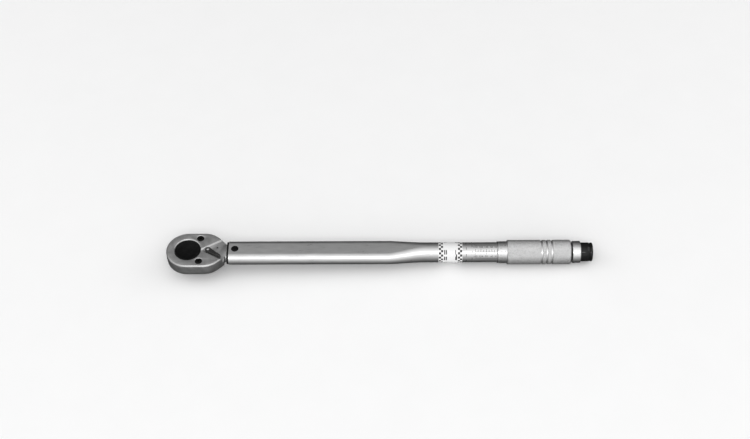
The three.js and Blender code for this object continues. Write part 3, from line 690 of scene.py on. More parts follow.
# ------------------------------------------------------------------ cover screws
# Two blackened steel screws with low domed heads and a hexagon socket, sunk in the lever
# face. Their threaded shanks end in the cover plate.

screw_head = 3.75
shank_radius = 2.0
under_head = face_z - 2.4
for number, node in enumerate(cover_screws, start=1):
    x, y, _ = centre(node)
    low, high = (corner.z for corner in span(node))
    crown = ((0.75, 0), (0.35, 0.12), (0.1, 0.6), (0, 1.4))
    outline = [(under_head, 0), (under_head, screw_head)]
    outline += [(high - drop, screw_head - inset) for drop, inset in crown] + [(high, 0)]
    screw = turned_upright(node + "_fine", outline, x, y, sides=64)
    outline = [(low, 0), (low, shank_radius - 0.3), (low + 0.3, shank_radius)]
    outline += [(under_head + 0.1, shank_radius), (under_head + 0.1, 0)]
    machine(screw, turned_upright("shank", outline, x, y, sides=40), way="UNION")
    turn_in = 14 + 31 * number
    socket = arc(x, y, 1.55, turn_in, turn_in + 360, 6)[:-1]
    machine(screw, slab("socket", socket, high - 1.35, high + 1))
    smooth(screw.data, 35)
    fit(screw, blackened, node, "head")

# ------------------------------------------------------------------ selector lever
# A pressed steel teardrop, blackened, with a raised thumb rib at its tail. It turns 70
# degrees across the recess and is riveted on the end of the cam.

lever_hub = 3.2
lever_tail = 1.5
tail_x = 17.3 - lever_tail


def teardrop(inset):
    hub = lever_hub - inset
    tail = lever_tail - inset
    lean = math.degrees(math.asin((hub - tail) / tail_x))
    return arc(0, 0, hub, 90 - lean, 270 + lean, 40) + arc(tail_x, 0, tail, -90 + lean, 90 - lean, 16)


def on_lever(x, y, z):
    """A point laid out along the lever, turned to where the lever stands."""
    turned_point = lever_turn @ Vector((x, y, 0))
    return (cam_x + turned_point.x, turned_point.y, z)


plate_top = lever_floor + lever_thickness
lever_edge = [(0.25, lever_floor), (0.0, lever_floor + 0.25), (0.0, plate_top - 0.5)]
lever_edge += [(0.14, plate_top - 0.15), (0.5, plate_top)]
lever = finish_piece("lever", skin([[on_lever(x, y, z) for x, y in teardrop(i)] for i, z in lever_edge]))
rib_half = 1.15
rib_front = tail_x * 0.6
rib_top = lever_high.z
rib_rings = []
for inset, height in ((0, plate_top - 0.4), (0, rib_top - 0.7), (0.12, rib_top - 0.3), (0.45, rib_top)):
    half = rib_half - inset
    lead = 2.2 * (height - plate_top + 0.4) / (rib_top - plate_top)
    outline = arc(rib_front + lead + half, 0, half, 90, 270, 14) + arc(tail_x, 0, half, -90, 90, 14)
    rib_rings.append([on_lever(x, y, height) for x, y in outline])
machine(lever, finish_piece("rib", skin(rib_rings)), way="UNION")
machine(lever, post("rivet_hole", cam_x, 0, cam_tip + 0.12, lever_floor - 1, plate_top + 1, 48))
smooth(lever.data, 40)


def lever_black():
    """Baked black enamel over steel, slightly glossy, rubbed bright on its corners."""
    enamel = Finish("lever_black", 0.28, 0.0)
    peel = enamel.grain(1.4, detail=3)
    worn = enamel.worn_edges(0.25, 0.08)
    tone = enamel.combine(enamel.remap(peel, 0.3, 0.7, 0, 0.02), worn, "ADD")
    enamel.colour(tone, (0.0, 0.008), (1.0, 0.9))
    enamel.rough(enamel.remap(peel, 0.3, 0.7, 0.2, 0.36))
    enamel.relief((peel, 0.012))
    return enamel.material


fit(lever, lever_black(), "selector_lever", "selector")

# ------------------------------------------------------------------ neck seal
# A moulded rubber washer, flattened like the tube, that closes its mouth round the neck
# and lets the head tip a degree to each side.

seal_low, seal_high = span("neck_seal")
seal_half = half_height("neck_seal")
seal_wide = seal_high.y


def rubber():
    """Moulded nitrile rubber: matt black with a fine moulded texture."""
    grain = dict(scale=2.5, detail=4)
    tones = ((0.3, 0.004), (0.7, 0.012))
    return one_grain("seal_rubber", 0.72, 0.0, grain, tones, (0.6, 0.85), 0.03, Specular_IOR_Level=0.2)


seal_profile = [(0.0, 0.45), (0.14, 0.14), (0.45, 0.0)]
seal_profile += [(seal_high.x - seal_low.x - x, inset) for x, inset in reversed(seal_profile)]
seal_rings = [oval(seal_low.x + x, seal_half - inset, seal_wide - inset, 72) for x, inset in seal_profile]
for x, inset in reversed(seal_profile):
    height = neck_height + 0.25 + inset * 0.3
    width = neck_width + 0.4 + inset * 0.3
    seal_rings.append(oval(seal_low.x + x, height, width, 72))
seal = finish_piece("seal", skin(seal_rings, closed=True), 40)
fit(seal, rubber(), "neck_seal", "tube")

# ------------------------------------------------------------------ tube
# A steel tube, pressed flat for the tang and left round for the spring and the grip.
# It is satin chromed, and its round end carries the scale, engraved and filled black.

tube_low, tube_high = span("tube")
tube_wall = 1.8
flat_half_height = 7.7
flat_half_width = tube_high.y
tube_radius = 11.0
round_start = tube_high.x - 124.0
flat_end = round_start - 44.5
pin_radius = 4.0
nut_pin_x = centre("nut_pin").x
nut_pin_hole = 1.7


def tube_section(x, inset, sides=80):
    """The tube's section at x, eased from flat to round between the two stretches."""
    share = min(max((x - flat_end) / (round_start - flat_end), 0), 1)
    eased = share * share * (3 - 2 * share)
    height = flat_half_height + (tube_radius - flat_half_height) * eased
    width = flat_half_width + (tube_radius - flat_half_width) * eased
    return oval(x, height - inset, width - inset, sides)


def satin_chrome():
    """Satin chrome over a fine polish: soft lengthwise grain, faint clouds and fine marks."""
    chrome = Finish("satin_chrome", 0.3, 1.0)
    grain = chrome.grain(1.1, stretch=(0.05, 1, 1), detail=4)
    cloud = chrome.grain(0.08, stretch=(0.5, 1, 1), detail=4)
    fleck = chrome.grain(2.6, detail=2)
    mixed = chrome.mix(grain, 0.6, cloud)
    chrome.colour(mixed, (0.32, 0.56), (0.5, 0.64), (0.7, 0.72))
    chrome.rough(chrome.remap(mixed, 0.3, 0.7, 0.24, 0.4))
    chrome.relief((cloud, 0.02), (grain, 0.006), (fleck, 0.006))
    return chrome.material


edge = [(0.0, 0.42), (0.1, 0.16), (0.34, 0.0)]
steps_between = [flat_end + (round_start - flat_end) * i / 30 for i in range(31)]
outside = [(tube_low.x + x, inset) for x, inset in edge]
outside += [(pin_x + 12, 0), (150, 0)] + [(x, 0) for x in steps_between]
outside += [(tube_high.x - x, inset) for x, inset in reversed(edge)]
inside = [(tube_high.x, tube_wall)] + [(x, tube_wall) for x in reversed(steps_between)]
inside += [(tube_low.x, tube_wall)]
tube_rings = [tube_section(x, inset) for x, inset in outside + inside]
tube = finish_piece("tube_shell", skin(tube_rings, closed=True))
machine(
    tube,
    post("pin_hole", pin_x, 0, pin_radius + 0.12, axis_z - 12, axis_z + 12, 72),
    post("nut_pin_hole", nut_pin_x, 0, nut_pin_hole, axis_z - 14, axis_z + 14, 40),
)
smooth(tube.data, 30)
fit(tube, satin_chrome(), "tube", "tube")

ink_lift = 0.025
ink_depth = 0.06


def on_bar(radius, x, turn, lift=0.0):
    """A point on a round bar: "turn" degrees from the top towards the front."""
    angle = math.radians(turn)
    reach = radius + lift
    return Vector((x, -reach * math.sin(angle), axis_z + reach * math.cos(angle)))


def ink_line(bm, radius, x, turn, along, across):
    """A filled line on a round bar, "along" its length by "across" round it, in millimetres."""
    spread = math.degrees(across / radius)
    steps = max(1, math.ceil(spread / 6))
    corners = ((-1, ink_lift), (1, ink_lift), (1, -ink_depth), (-1, -ink_depth))
    rings = []
    for i in range(steps + 1):
        angle = turn - spread / 2 + spread * i / steps
        rings.append([on_bar(radius, x + side * along / 2, angle, lift) for side, lift in corners])
    skin(rings, bm=bm)


def ink_number(bm, number, size, radius, x, turn, across=False):
    """A number wrapped on a round bar, read along it, or across it on the thimble."""
    text = bpy.data.curves.new("number", "FONT")
    text.body = str(number)
    text.size = size
    text.align_x = "CENTER"
    text.align_y = "CENTER"
    text.resolution_u = 3
    text.extrude = (ink_lift + ink_depth) / 2
    holder = bpy.data.objects.new("number", text)
    bpy.context.scene.collection.objects.link(holder)
    bpy.context.view_layer.update()
    graph = bpy.context.evaluated_depsgraph_get()
    flat = bpy.data.meshes.new_from_object(holder.evaluated_get(graph))
    letters = bmesh.new()
    letters.from_mesh(flat)
    for i in range(-6, 7):
        whole = letters.verts[:] + letters.edges[:] + letters.faces[:]
        side = (1, 0, 0) if across else (0, 1, 0)
        bmesh.ops.bisect_plane(letters, geom=whole, plane_co=[0.4 * i * s for s in side], plane_no=side)
    for vert in letters.verts:
        u, v, w = vert.co
        if across:
            u, v = v, -u
        lift = ink_lift if w > 0 else -ink_depth
        vert.co = on_bar(radius, x + u, turn - math.degrees(v / radius), lift)
    letters.to_mesh(flat)
    letters.free()
    bm.from_mesh(flat)
    bpy.data.objects.remove(holder)
    bpy.data.curves.remove(text)
    bpy.data.meshes.remove(flat)


dash_start = 306.6
scale_turn = 36
scale_front = 316.6
scale_step = 3.0
scale_length = 8 * scale_step
scale_middle = scale_front + scale_length / 2
scale = bmesh.new()
for i in range(9):
    height = 5.6 if i % 2 == 0 else 3.6
    ink_line(scale, tube_radius, scale_front + scale_step * i, scale_turn, 0.4, height)
ink_line(scale, tube_radius, scale_middle, scale_turn, scale_length + 1, 0.35)
for side in (-1, 1):
    ink_line(scale, tube_radius, scale_middle, scale_turn + side * 40, scale_length + 1, 0.35)
for i in range(5):
    place = scale_front + 2 * scale_step * i - (1.7 if i == 4 else 0)
    ink_number(scale, 210 - 42 * i, 3.0, tube_radius, place, scale_turn - 28)
    ink_number(scale, 155 - 31 * i, 3.0, tube_radius, place, scale_turn + 28)
for turn in range(0, 360, 40):
    ink_line(scale, tube_radius, dash_start, turn + 16, 0.5, 3.2)
    ink_line(scale, tube_radius, dash_start + 6.4, turn, 0.5, 3.2)
scale_marks = finish_piece("tube_scale", scale)
ink(scale_marks, "tube")

# ------------------------------------------------------------------ label band
# A printed vinyl band stuck round the tube, white with rows of black checks along both of
# its edges and a few plain printed bars between them.

band_start = 276.2
band_length = 26.2
band_radius = tube_radius + 0.09
check_length = 2.3
checks_round = 28


def vinyl(name, low, high):
    """Printed vinyl under a clear film: one ink, a little scuffed, with a low gloss."""
    grain = dict(scale=1.2, detail=5)
    tones = ((0.3, low), (0.7, high))
    return one_grain(name, 0.35, 0.0, grain, tones, (0.28, 0.5), 0.008)


def band_columns():
    """The band's steps along the tube: two columns of checks at each edge, plain between."""
    ends = [0, 0.35, 0.35 + check_length, 0.35 + 2 * check_length]
    middle = [6.0, 7.2, 7.9, 9.1, 10.6, 13.1]
    half = ends + middle
    return [band_start + x for x in half] + [band_start + band_length - x for x in reversed(half[:-1])]


def printed(column, row):
    """Whether a field of the band is black: checks at the edges, short bars between."""
    if column in (1, 2, 15, 16):
        return (column + row) % 2 == 0
    if column in (4, 6, 12):
        return row % 14 in (2, 3, 5, 6, 9, 10)
    if column == 13:
        return row % 14 in (4, 5, 6, 11)
    return False


def band_mesh():
    bm = bmesh.new()
    columns = band_columns()
    finer = 2
    count = checks_round * finer
    places = [(x, band_radius) for x in columns]
    places += [(x, tube_radius - 0.03) for x in (columns[-1], columns[0])]
    rows = [[bm.verts.new(on_bar(r, x, 360 * j / count)) for j in range(count)] for x, r in places]
    for i, near in enumerate(rows):
        far = rows[(i + 1) % len(rows)]
        for j in range(count):
            k = (j + 1) % count
            face = bm.faces.new((near[j], far[j], far[k], near[k]))
            face.material_index = 1 if printed(i, j // finer) else 0
    return bm


band = finish_piece("label_band", band_mesh(), 40)
band.data.materials.append(vinyl("vinyl_white", 0.74, 0.86))
band.data.materials.append(vinyl("vinyl_black", 0.008, 0.02))
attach(band, "tube")

# ------------------------------------------------------------------ pivot pin
# The hardened pin on which the head tips. It passes through tube and neck, and its low
# crowns stand just proud of the flats, blackened, with a small centre dimple from turning.

pin_end = flat_half_height
pin_crown = span("pivot_pin")[1].z - axis_z - pin_end
crown_shape = [(1.0, 0.0), (0.97, 0.3), (0.88, 0.55), (0.7, 0.78)]
crown_shape += [(0.45, 0.94), (0.24, 1.0), (0.2, 0.92), (0.0, 0.62)]
crown = [(pin_radius * share, pin_end + pin_crown * rise) for share, rise in crown_shape]
upper = [(axis_z + z, r) for r, z in crown]
lower = [(axis_z - z, r) for r, z in reversed(crown)]
pin = turned_upright("pivot_pin_fine", lower + upper, pin_x, 0, sides=72, sharp=40)
fit(pin, blackened, "pivot_pin", "tube")

# ------------------------------------------------------------------ click block
# A small hardened block between the tang and the plunger. It keeps its exact working shape
# here, with a ground finish and broken edges.

grind("click_block", 0.15, 2)

# ------------------------------------------------------------------ plunger, main spring and seat
# The plunger carries the click block in a cup and takes the spring on its boss. The heavy
# spring runs back to a seat, which a hard ball pushes when the handle is screwed in.


def round_ring(x, radius, sides):
    return [(x, y, axis_z + z) for y, z in circle(radius, sides)]


def turned(name, outline, sides=96, hollow=False, sharp=32):
    """A piece turned about the wrench's long axis, from (x, radius) points."""
    rings = [round_ring(x, radius, sides) for x, radius in outline]
    return finish_piece(name, skin(rings, closed=hollow), sharp)


def bar_outline(low, high, radius, edge):
    """A plain turned bar with both ends chamfered."""
    half = [(low, 0), (low, radius - edge), (low + edge, radius)]
    return half + [(low + high - x, r) for x, r in reversed(half)]


def ring_outline(low, high, radius, bore, edge, inner_edge):
    """A plain turned ring, chamfered outside and inside at both ends."""
    outer = [(low, radius - edge), (low + edge, radius), (high - edge, radius), (high, radius - edge)]
    inner = [(high, bore + inner_edge), (high - inner_edge, bore), (low + inner_edge, bore)]
    return [(low, bore + inner_edge)] + outer + inner


plunger_low, plunger_high = span("plunger")
bore_fit = half_height("plunger")
boss_radius = 4.7
boss_length = 6.0
plunger_face = plunger_high.x - boss_length
plunger_outline = [
    (plunger_low.x, 0),
    (plunger_low.x, bore_fit - 0.6),
    (plunger_low.x + 0.6, bore_fit),
    (plunger_face - 5.0, bore_fit),
    (plunger_face - 4.6, bore_fit - 0.4),
    (plunger_face - 3.4, bore_fit - 0.4),
    (plunger_face - 3.0, bore_fit),
    (plunger_face - 0.5, bore_fit),
    (plunger_face, bore_fit - 0.5),
    (plunger_face, boss_radius),
    (plunger_high.x - 0.6, boss_radius),
    (plunger_high.x, boss_radius - 0.6),
    (plunger_high.x, 0),
]
plunger = turned("plunger_fine", plunger_outline)
block_pivot_x = plunger_low.x - 1.5
machine(plunger, post("cup", block_pivot_x, 0, 4.3, axis_z - 4.3, axis_z + 4.3))
smooth(plunger.data, 30)
fit(plunger, polished, "plunger", "tube")

spring_low, spring_high = span("main_spring")
spring_length = spring_high.x - spring_low.x
spring_start = Vector((spring_low.x, 0, axis_z))
main_spring = coil_spring("main_coil", spring_start, (1, 0, 0), spring_length, 8.6, 3.4, 11, 36, 18)
fit(main_spring, tempered, "main_spring", "tube")
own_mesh(main_spring)

seat_low, seat_high = span("spring_seat")
seat_face = seat_low.x + boss_length
thrust_middle = centre("thrust_ball")
thrust_radius = half_height("thrust_ball")
seat_outline = [
    (seat_low.x, 0),
    (seat_low.x, boss_radius - 0.6),
    (seat_low.x + 0.6, boss_radius),
    (seat_face, boss_radius),
    (seat_face, bore_fit - 0.5),
    (seat_face + 0.5, bore_fit),
    (seat_high.x - 0.5, bore_fit),
    (seat_high.x, bore_fit - 0.5),
    (seat_high.x, 0),
]
seat = turned("spring_seat_fine", seat_outline)
machine(seat, steel_ball("ball_socket", thrust_middle, thrust_radius + 0.2))
smooth(seat.data, 30)
fit(seat, polished, "spring_seat", "adjuster")

thrust_ball = steel_ball("thrust_ball_fine", thrust_middle, thrust_radius)
fit(thrust_ball, polished, "thrust_ball", "adjuster")

# ------------------------------------------------------------------ tube nut and its pin
# A brass nut pressed into the tube's end and held by a cross pin. The adjusting screw turns
# in its thread.

nut_low, nut_high = span("tube_nut")
nut_radius = half_height("tube_nut")
nut_bore = 6.25


def brass():
    """Machined brass: warm yellow with turning rings and a dull patina."""
    grain = dict(scale=1.6, stretch=(1, 0.15, 0.15), detail=3)
    tones = ((0.3, (0.42, 0.26, 0.08)), (0.7, (0.62, 0.42, 0.16)))
    return one_grain("nut_brass", 0.32, 1.0, grain, tones, (0.26, 0.42), 0.008)


nut_outline = ring_outline(nut_low.x, nut_high.x, nut_radius, nut_bore, 0.5, 0.5)
tube_nut = turned("tube_nut_fine", nut_outline, hollow=True)
machine(tube_nut, post("nut_pin_seat", nut_pin_x, 0, nut_pin_hole, axis_z + 5, axis_z + 12, 40))
fit(tube_nut, brass(), "tube_nut", "tube")

nut_pin_low, nut_pin_high = span("nut_pin")
nut_pin_outline = bar_outline(nut_pin_low.z, nut_pin_high.z, 1.5, 0.3)
nut_pin = turned_upright("nut_pin_fine", nut_pin_outline, nut_pin_x, 0, sides=40)
fit(nut_pin, polished, "nut_pin", "tube")

# ------------------------------------------------------------------ adjusting screw
# A hollow steel screw with a two millimetre pitch, fixed to the handle's web by its tail.
# Turned into the tube nut, it pushes the ball, the seat and the spring.

screw_low, screw_high = span("adjusting_screw")
screw_radius = 6.0
screw_tail = 4.7
screw_bore = 2.6
screw_pitch = 2.0
screw_shoulder = 410.7


def threaded_bar(name, before, low, high, after, radius, pitch, bore=0.0, sides=56):
    """A bar with a V thread between low and high, and plain (x, radius) ends."""
    rows = [(x, r, False) for x, r in before]
    count = round((high - low) / pitch * 6)
    rows += [(low + (high - low) * i / count, radius, True) for i in range(count + 1)]
    rows += [(x, r, False) for x, r in after]
    if bore:
        rows += [(rows[-1][0], bore, False), (rows[0][0], bore, False)]
    rings = []
    for x, r, cut in rows:
        ring = []
        for j in range(sides):
            phase = (x / pitch - j / sides) % 1
            deep = 0.62 * pitch * max(abs(2 * phase - 1) - 0.12, 0) if cut else 0
            angle = 2 * math.pi * j / sides
            ring.append((x, (r - deep) * math.cos(angle), axis_z + (r - deep) * math.sin(angle)))
        rings.append(ring)
    return finish_piece(name, skin(rings, closed=bool(bore)), 25)


screw_front = [(screw_low.x, screw_bore + 0.6), (screw_low.x, screw_radius - 1.4)]
screw_front += [(screw_low.x + 0.4, screw_radius - 1.2)]
screw_back = [
    (screw_shoulder, screw_radius - 0.6),
    (screw_shoulder, screw_tail - 0.3),
    (screw_shoulder + 0.4, screw_tail - 0.3),
    (screw_shoulder + 0.7, screw_tail),
    (screw_high.x - 0.4, screw_tail),
    (screw_high.x, screw_tail - 0.4),
]
screw = threaded_bar(
    "adjusting_screw_fine",
    screw_front,
    screw_low.x + 0.6,
    screw_shoulder - 0.4,
    screw_back,
    screw_radius,
    screw_pitch,
    screw_bore,
)
machine(screw, steel_ball("ball_cup", thrust_middle, thrust_radius + 0.2))
smooth(screw.data, 25)
fit(screw, polished, "adjusting_screw", "handle")

# ------------------------------------------------------------------ handle
# A turned steel sleeve that slides over the tube. Its front is a smooth chromed thimble
# with the fine scale, and its grip is cut with a diamond knurl and three plain grooves.

handle_low, handle_high = span("handle")
grip_radius = handle_high.y
handle_bore = 11.25
thimble_radius = 12.0
thimble_length = 10.9
thimble_bevel = 2.4
grip_start = handle_low.x + thimble_length
web_front = tube_high.x + 25
web_rear = web_front + 6
socket_radius = 9.75
tail_hole = 4.9
knurl_round = 84
knurl_sides = 2 * knurl_round
knurl_depth = 0.16
groove_width = 2.0
groove_depth = 1.0
groove_middles = [handle_high.x - 20.8 - 5.6 * i for i in range(3)]


def knurl_rows(start, end):
    """Rows of a diamond knurl: peaks and pits in turn, half a pitch apart both ways."""
    count = 2 * round((end - start) / (2 * math.pi * grip_radius / knurl_round))
    return [(start + (end - start) * i / count, grip_radius, i % 2) for i in range(count + 1)]


def handle_rows():
    """The handle's outline as (x, radius, knurl phase) rows, along the outside and back inside."""
    rows = [
        (handle_low.x, handle_bore, None),
        (handle_low.x, handle_bore + 0.42, None),
        (handle_low.x + 0.12, handle_bore + 0.5, None),
        (handle_low.x + thimble_bevel, thimble_radius - 0.06, None),
        (handle_low.x + thimble_bevel + 0.25, thimble_radius, None),
        (grip_start - 0.1, thimble_radius, None),
        (grip_start, thimble_radius + 0.06, None),
        (grip_start, grip_radius - 0.9, None),
        (grip_start + 0.7, grip_radius - knurl_depth, None),
    ]
    start = grip_start + 0.8
    for middle_x in reversed(groove_middles):
        half = groove_width / 2
        rows += knurl_rows(start, middle_x - half)
        rows += [
            (middle_x - half + 0.05, grip_radius - knurl_depth, None),
            (middle_x - half + 0.3, grip_radius - groove_depth, None),
            (middle_x + half - 0.3, grip_radius - groove_depth, None),
            (middle_x + half - 0.05, grip_radius - knurl_depth, None),
        ]
        start = middle_x + half
    rows += knurl_rows(start, handle_high.x - 0.9)
    rows += [
        (handle_high.x - 0.8, grip_radius - knurl_depth, None),
        (handle_high.x, grip_radius - 0.9, None),
        (handle_high.x, socket_radius + 0.4, None),
        (handle_high.x - 0.4, socket_radius, None),
        (web_rear, socket_radius, None),
        (web_rear, tail_hole, None),
        (web_front, tail_hole, None),
        (web_front, handle_bore, None),
    ]
    return rows


def handle_mesh():
    bm = bmesh.new()
    rows = handle_rows()
    grid = []
    for x, radius, phase in rows:
        ring = []
        for j in range(knurl_sides):
            pit = phase is not None and (j + phase) % 2 == 0
            reach = radius - knurl_depth if pit else radius
            ring.append(bm.verts.new(on_bar(reach, x, 360 * j / knurl_sides)))
        grid.append(ring)
    for i in range(len(rows)):
        near, far = grid[i], grid[(i + 1) % len(rows)]
        phases = (rows[i][2], rows[(i + 1) % len(rows)][2])
        for j in range(knurl_sides):
            k = (j + 1) % knurl_sides
            if None in phases:
                bm.faces.new((near[j], near[k], far[k], far[j]))
            elif (j + phases[0]) % 2 == 0:
                bm.faces.new((near[j], near[k], far[k]))
                bm.faces.new((near[j], far[k], far[j]))
            else:
                bm.faces.new((near[j], near[k], far[j]))
                bm.faces.new((near[k], far[k], far[j]))
    return bm


def knurled_chrome():
    """Dull chrome over a cut knurl: frosted, a little brighter on the diamonds' points."""
    chrome = Finish("knurled_chrome", 0.5, 1.0)
    frost = chrome.grain(2.4, detail=4)
    cloud = chrome.grain(0.5, detail=5)
    worn = chrome.worn_edges(0.12, 0.25)
    tone = chrome.mix(frost, 0.5, cloud)
    chrome.colour(chrome.combine(tone, worn, "ADD"), (0.3, 0.42), (0.5, 0.62), (0.9, 0.84))
    chrome.rough(chrome.remap(tone, 0.3, 0.7, 0.36, 0.54))
    chrome.relief((frost, 0.03))
    return chrome.material


handle = finish_piece("handle_sleeve", handle_mesh(), 25)
handle.data.materials.append(knurled_chrome())
handle.data.materials.append(satin_chrome())
for polygon in handle.data.polygons:
    x, y, z = polygon.center / MM
    reach = math.hypot(y, z - axis_z)
    plain = x < grip_start + 0.1 or reach < grip_radius - 0.85
    polygon.material_index = 1 if plain else 0
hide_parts("handle")
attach(handle, "handle")

thimble = bmesh.new()
thimble_steps = 20
for i in range(thimble_steps):
    turn = scale_turn + 360 * i / thimble_steps
    long_tick = i % 2 == 0
    tick = 3.4 if long_tick else 2.2
    tick_start = handle_low.x + thimble_bevel + 0.5
    ink_line(thimble, thimble_radius, tick_start + tick / 2, turn, tick, 0.24)
    if long_tick:
        ink_number(thimble, i // 2, 2.5, thimble_radius, tick_start + 5.4, turn, across=True)
thimble_marks = finish_piece("thimble_scale", thimble)
ink(thimble_marks, "handle")

# A thin black ring on the thimble's front edge: painted shadow standing in for the dark gap where the
# thimble meets the tube.
ring_start = handle_low.x + 0.3
ring_inside = handle_bore + 0.3
gap_shadow_outline = [(ring_start, ring_inside), (ring_start, ring_inside + 0.29)]
gap_shadow_outline += [(ring_start + 0.5, ring_inside + 0.39), (ring_start + 0.5, ring_inside)]
thimble_gap_shadow = turned("thimble_gap_shadow_ring", gap_shadow_outline, hollow=True)
ink(thimble_gap_shadow, "handle")

# ------------------------------------------------------------------ handle washer and nut
# A plain washer and a thin hexagon nut that clamp the screw's tail to the handle's web.

washer_low, washer_high = span("handle_washer")
washer_radius = half_height("handle_washer")
washer_outline = ring_outline(washer_low.x, washer_high.x, washer_radius, tail_hole, 0.2, 0.15)
washer = turned("handle_washer_fine", washer_outline, hollow=True)
fit(washer, polished, "handle_washer", "handle")

hex_low, hex_high = span("handle_nut")
hex_across = 12.4
hex_corner = hex_across / math.sqrt(3)
hex_sides = 72


def hex_ring(x, inset):
    """A hexagon whose corners are cut to a circle, as on a chamfered nut."""
    ring = []
    for j in range(hex_sides):
        angle = 2 * math.pi * j / hex_sides
        off_flat = (math.degrees(angle) - 30) % 60 - 30
        reach = hex_across / 2 / math.cos(math.radians(off_flat))
        reach = min(reach, hex_corner - inset)
        ring.append((x, reach * math.cos(angle), axis_z + reach * math.sin(angle)))
    return ring


nut_rings = [
    round_ring(hex_low.x, tail_hole, hex_sides),
    hex_ring(hex_low.x, 0.9),
    hex_ring(hex_low.x + 0.5, 0),
    hex_ring(hex_high.x - 0.5, 0),
    hex_ring(hex_high.x, 0.9),
    round_ring(hex_high.x, tail_hole, hex_sides),
]
handle_nut = finish_piece("handle_nut_fine", skin(nut_rings, closed=True), 20)
fit(handle_nut, polished, "handle_nut", "handle")

# ------------------------------------------------------------------ end collar
# A turned and polished chrome collar, pressed into the handle's end by its spigot. The lock
# rod's thread runs through its rear wall.

collar_low, collar_high = span("end_collar")
collar_radius_outer = collar_high.y
collar_front = handle_high.x + 1.7
collar_hollow = 7.7
hollow_end = 426.2
lock_thread = 4.0


def polished_chrome():
    """Mirror chrome with a trace of turning lines, faint swirls and handling marks."""
    chrome = Finish("polished_chrome", 0.1, 1.0)
    rings = chrome.grain(2.0, stretch=(1, 0.08, 0.08), detail=3)
    smear = chrome.grain(0.25, detail=5)
    chrome.colour(smear, (0.3, 0.66), (0.7, 0.78))
    chrome.rough(chrome.remap(smear, 0.35, 0.7, 0.1, 0.24))
    chrome.relief((rings, 0.004))
    return chrome.material


collar_outline = [
    (collar_low.x, collar_hollow + 0.2),
    (collar_low.x, socket_radius - 0.5),
    (collar_low.x + 0.3, socket_radius - 0.2),
    (collar_front, socket_radius - 0.2),
    (collar_front, collar_radius_outer - 0.9),
    (collar_front + 0.14, collar_radius_outer - 0.5),
    (collar_front + 0.7, collar_radius_outer - 0.08),
    (collar_front + 1.2, collar_radius_outer),
    (collar_high.x - 1.2, collar_radius_outer),
    (collar_high.x - 0.7, collar_radius_outer - 0.08),
    (collar_high.x - 0.14, collar_radius_outer - 0.5),
    (collar_high.x, collar_radius_outer - 0.9),
    (collar_high.x, lock_thread + 0.5),
    (collar_high.x - 0.3, lock_thread + 0.25),
    (hollow_end, lock_thread + 0.25),
    (hollow_end, collar_hollow),
    (collar_low.x + 0.2, collar_hollow),
]
collar_piece = turned("end_collar_fine", collar_outline, sides=128, hollow=True, sharp=24)
collar_piece.data.materials.append(polished_chrome())
collar_piece.data.materials.append(blackened)
# The spigot's faces take the blackened finish, so a dark band shows in the gap between the grip and the
# collar.
for polygon in collar_piece.data.polygons:
    polygon.material_index = 1 if polygon.center.x / MM < collar_front - 0.1 else 0
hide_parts("end_collar")
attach(collar_piece, "handle")

# ------------------------------------------------------------------ lock plug, rod and knob
# The knob turns a threaded rod that runs down the hollow screw and presses a nylon plug
# against the ball, which holds the setting. The knob is moulded in glossy black plastic.

plug_low, plug_high = span("lock_plug")
rod_low, rod_high = span("lock_rod")
knob_low, knob_high = span("lock_knob")
rod_radius = 2.2
rod_thread_start = 426.6
knob_radius = knob_high.y
knob_lip = 2.6
knob_groove = 1.2
knob_socket = 8.0


def nylon():
    """Turned nylon: off-white and waxy, with faint tool lines."""
    grain = dict(scale=1.8, stretch=(1, 0.2, 0.2), detail=3)
    tones = ((0.3, (0.7, 0.66, 0.56)), (0.7, (0.8, 0.77, 0.68)))
    return one_grain("nylon", 0.45, 0.0, grain, tones, (0.38, 0.55), 0.01)


def knob_plastic():
    """Moulded black plastic: deep gloss with faint flow marks and fine dust scratches."""
    plastic = Finish("knob_plastic", 0.08, 0.0, Specular_IOR_Level=0.3)
    flow = plastic.grain(0.3, stretch=(0.4, 1, 1), detail=4)
    scratch = plastic.grain(2.2, stretch=(0.2, 1, 1), detail=3)
    plastic.colour(flow, (0.3, 0.003), (0.7, 0.007))
    plastic.rough(plastic.remap(scratch, 0.35, 0.7, 0.04, 0.13))
    plastic.relief((flow, 0.006), (scratch, 0.002))
    return plastic.material


plug_outline = bar_outline(plug_low.x, plug_high.x, rod_radius, 0.3)
lock_plug = turned("lock_plug_fine", plug_outline, sides=40)
fit(lock_plug, nylon(), "lock_plug", "lock_plug")

rod_front = [(rod_low.x, 0), (rod_low.x, rod_radius - 0.3), (rod_low.x + 0.3, rod_radius)]
rod_front += [(rod_thread_start, rod_radius), (rod_thread_start, lock_thread - 0.8)]
rod_back = [(rod_high.x - 0.1, lock_thread - 0.8), (rod_high.x, lock_thread - 1.2), (rod_high.x, 0)]
lock_rod = threaded_bar(
    "lock_rod_fine",
    rod_front,
    rod_thread_start + 0.2,
    rod_high.x - 0.2,
    rod_back,
    lock_thread,
    1.25,
    sides=40,
)
fit(lock_rod, polished, "lock_rod", "lock_knob")

lip_round = knob_lip / 2
lip_middle = (knob_high.x - lip_round, knob_radius - lip_round)
groove_rear = knob_high.x - knob_lip
groove_front = groove_rear - knob_groove
knob_outline = [
    (knob_low.x, lock_thread + 0.2),
    (knob_low.x, knob_radius - 0.9),
    (knob_low.x + 0.14, knob_radius - 0.5),
    (knob_low.x + 0.5, knob_radius - 0.14),
    (knob_low.x + 0.9, knob_radius),
    (groove_front - 0.15, knob_radius),
    (groove_front, knob_radius - 0.15),
    (groove_front + 0.1, knob_radius - 0.75),
    (groove_front + 0.3, knob_radius - 0.9),
    (groove_rear - 0.3, knob_radius - 0.9),
    (groove_rear - 0.1, knob_radius - 0.75),
    (groove_rear, knob_radius - 0.2),
]
knob_outline += arc(*lip_middle, lip_round, 100, 0, 12)
knob_outline += [(knob_high.x - 0.5, knob_radius - 2.4), (knob_high.x - 0.6, knob_radius - 3.0)]
knob_outline += [(knob_high.x - 0.6, 0), (knob_low.x + knob_socket, 0)]
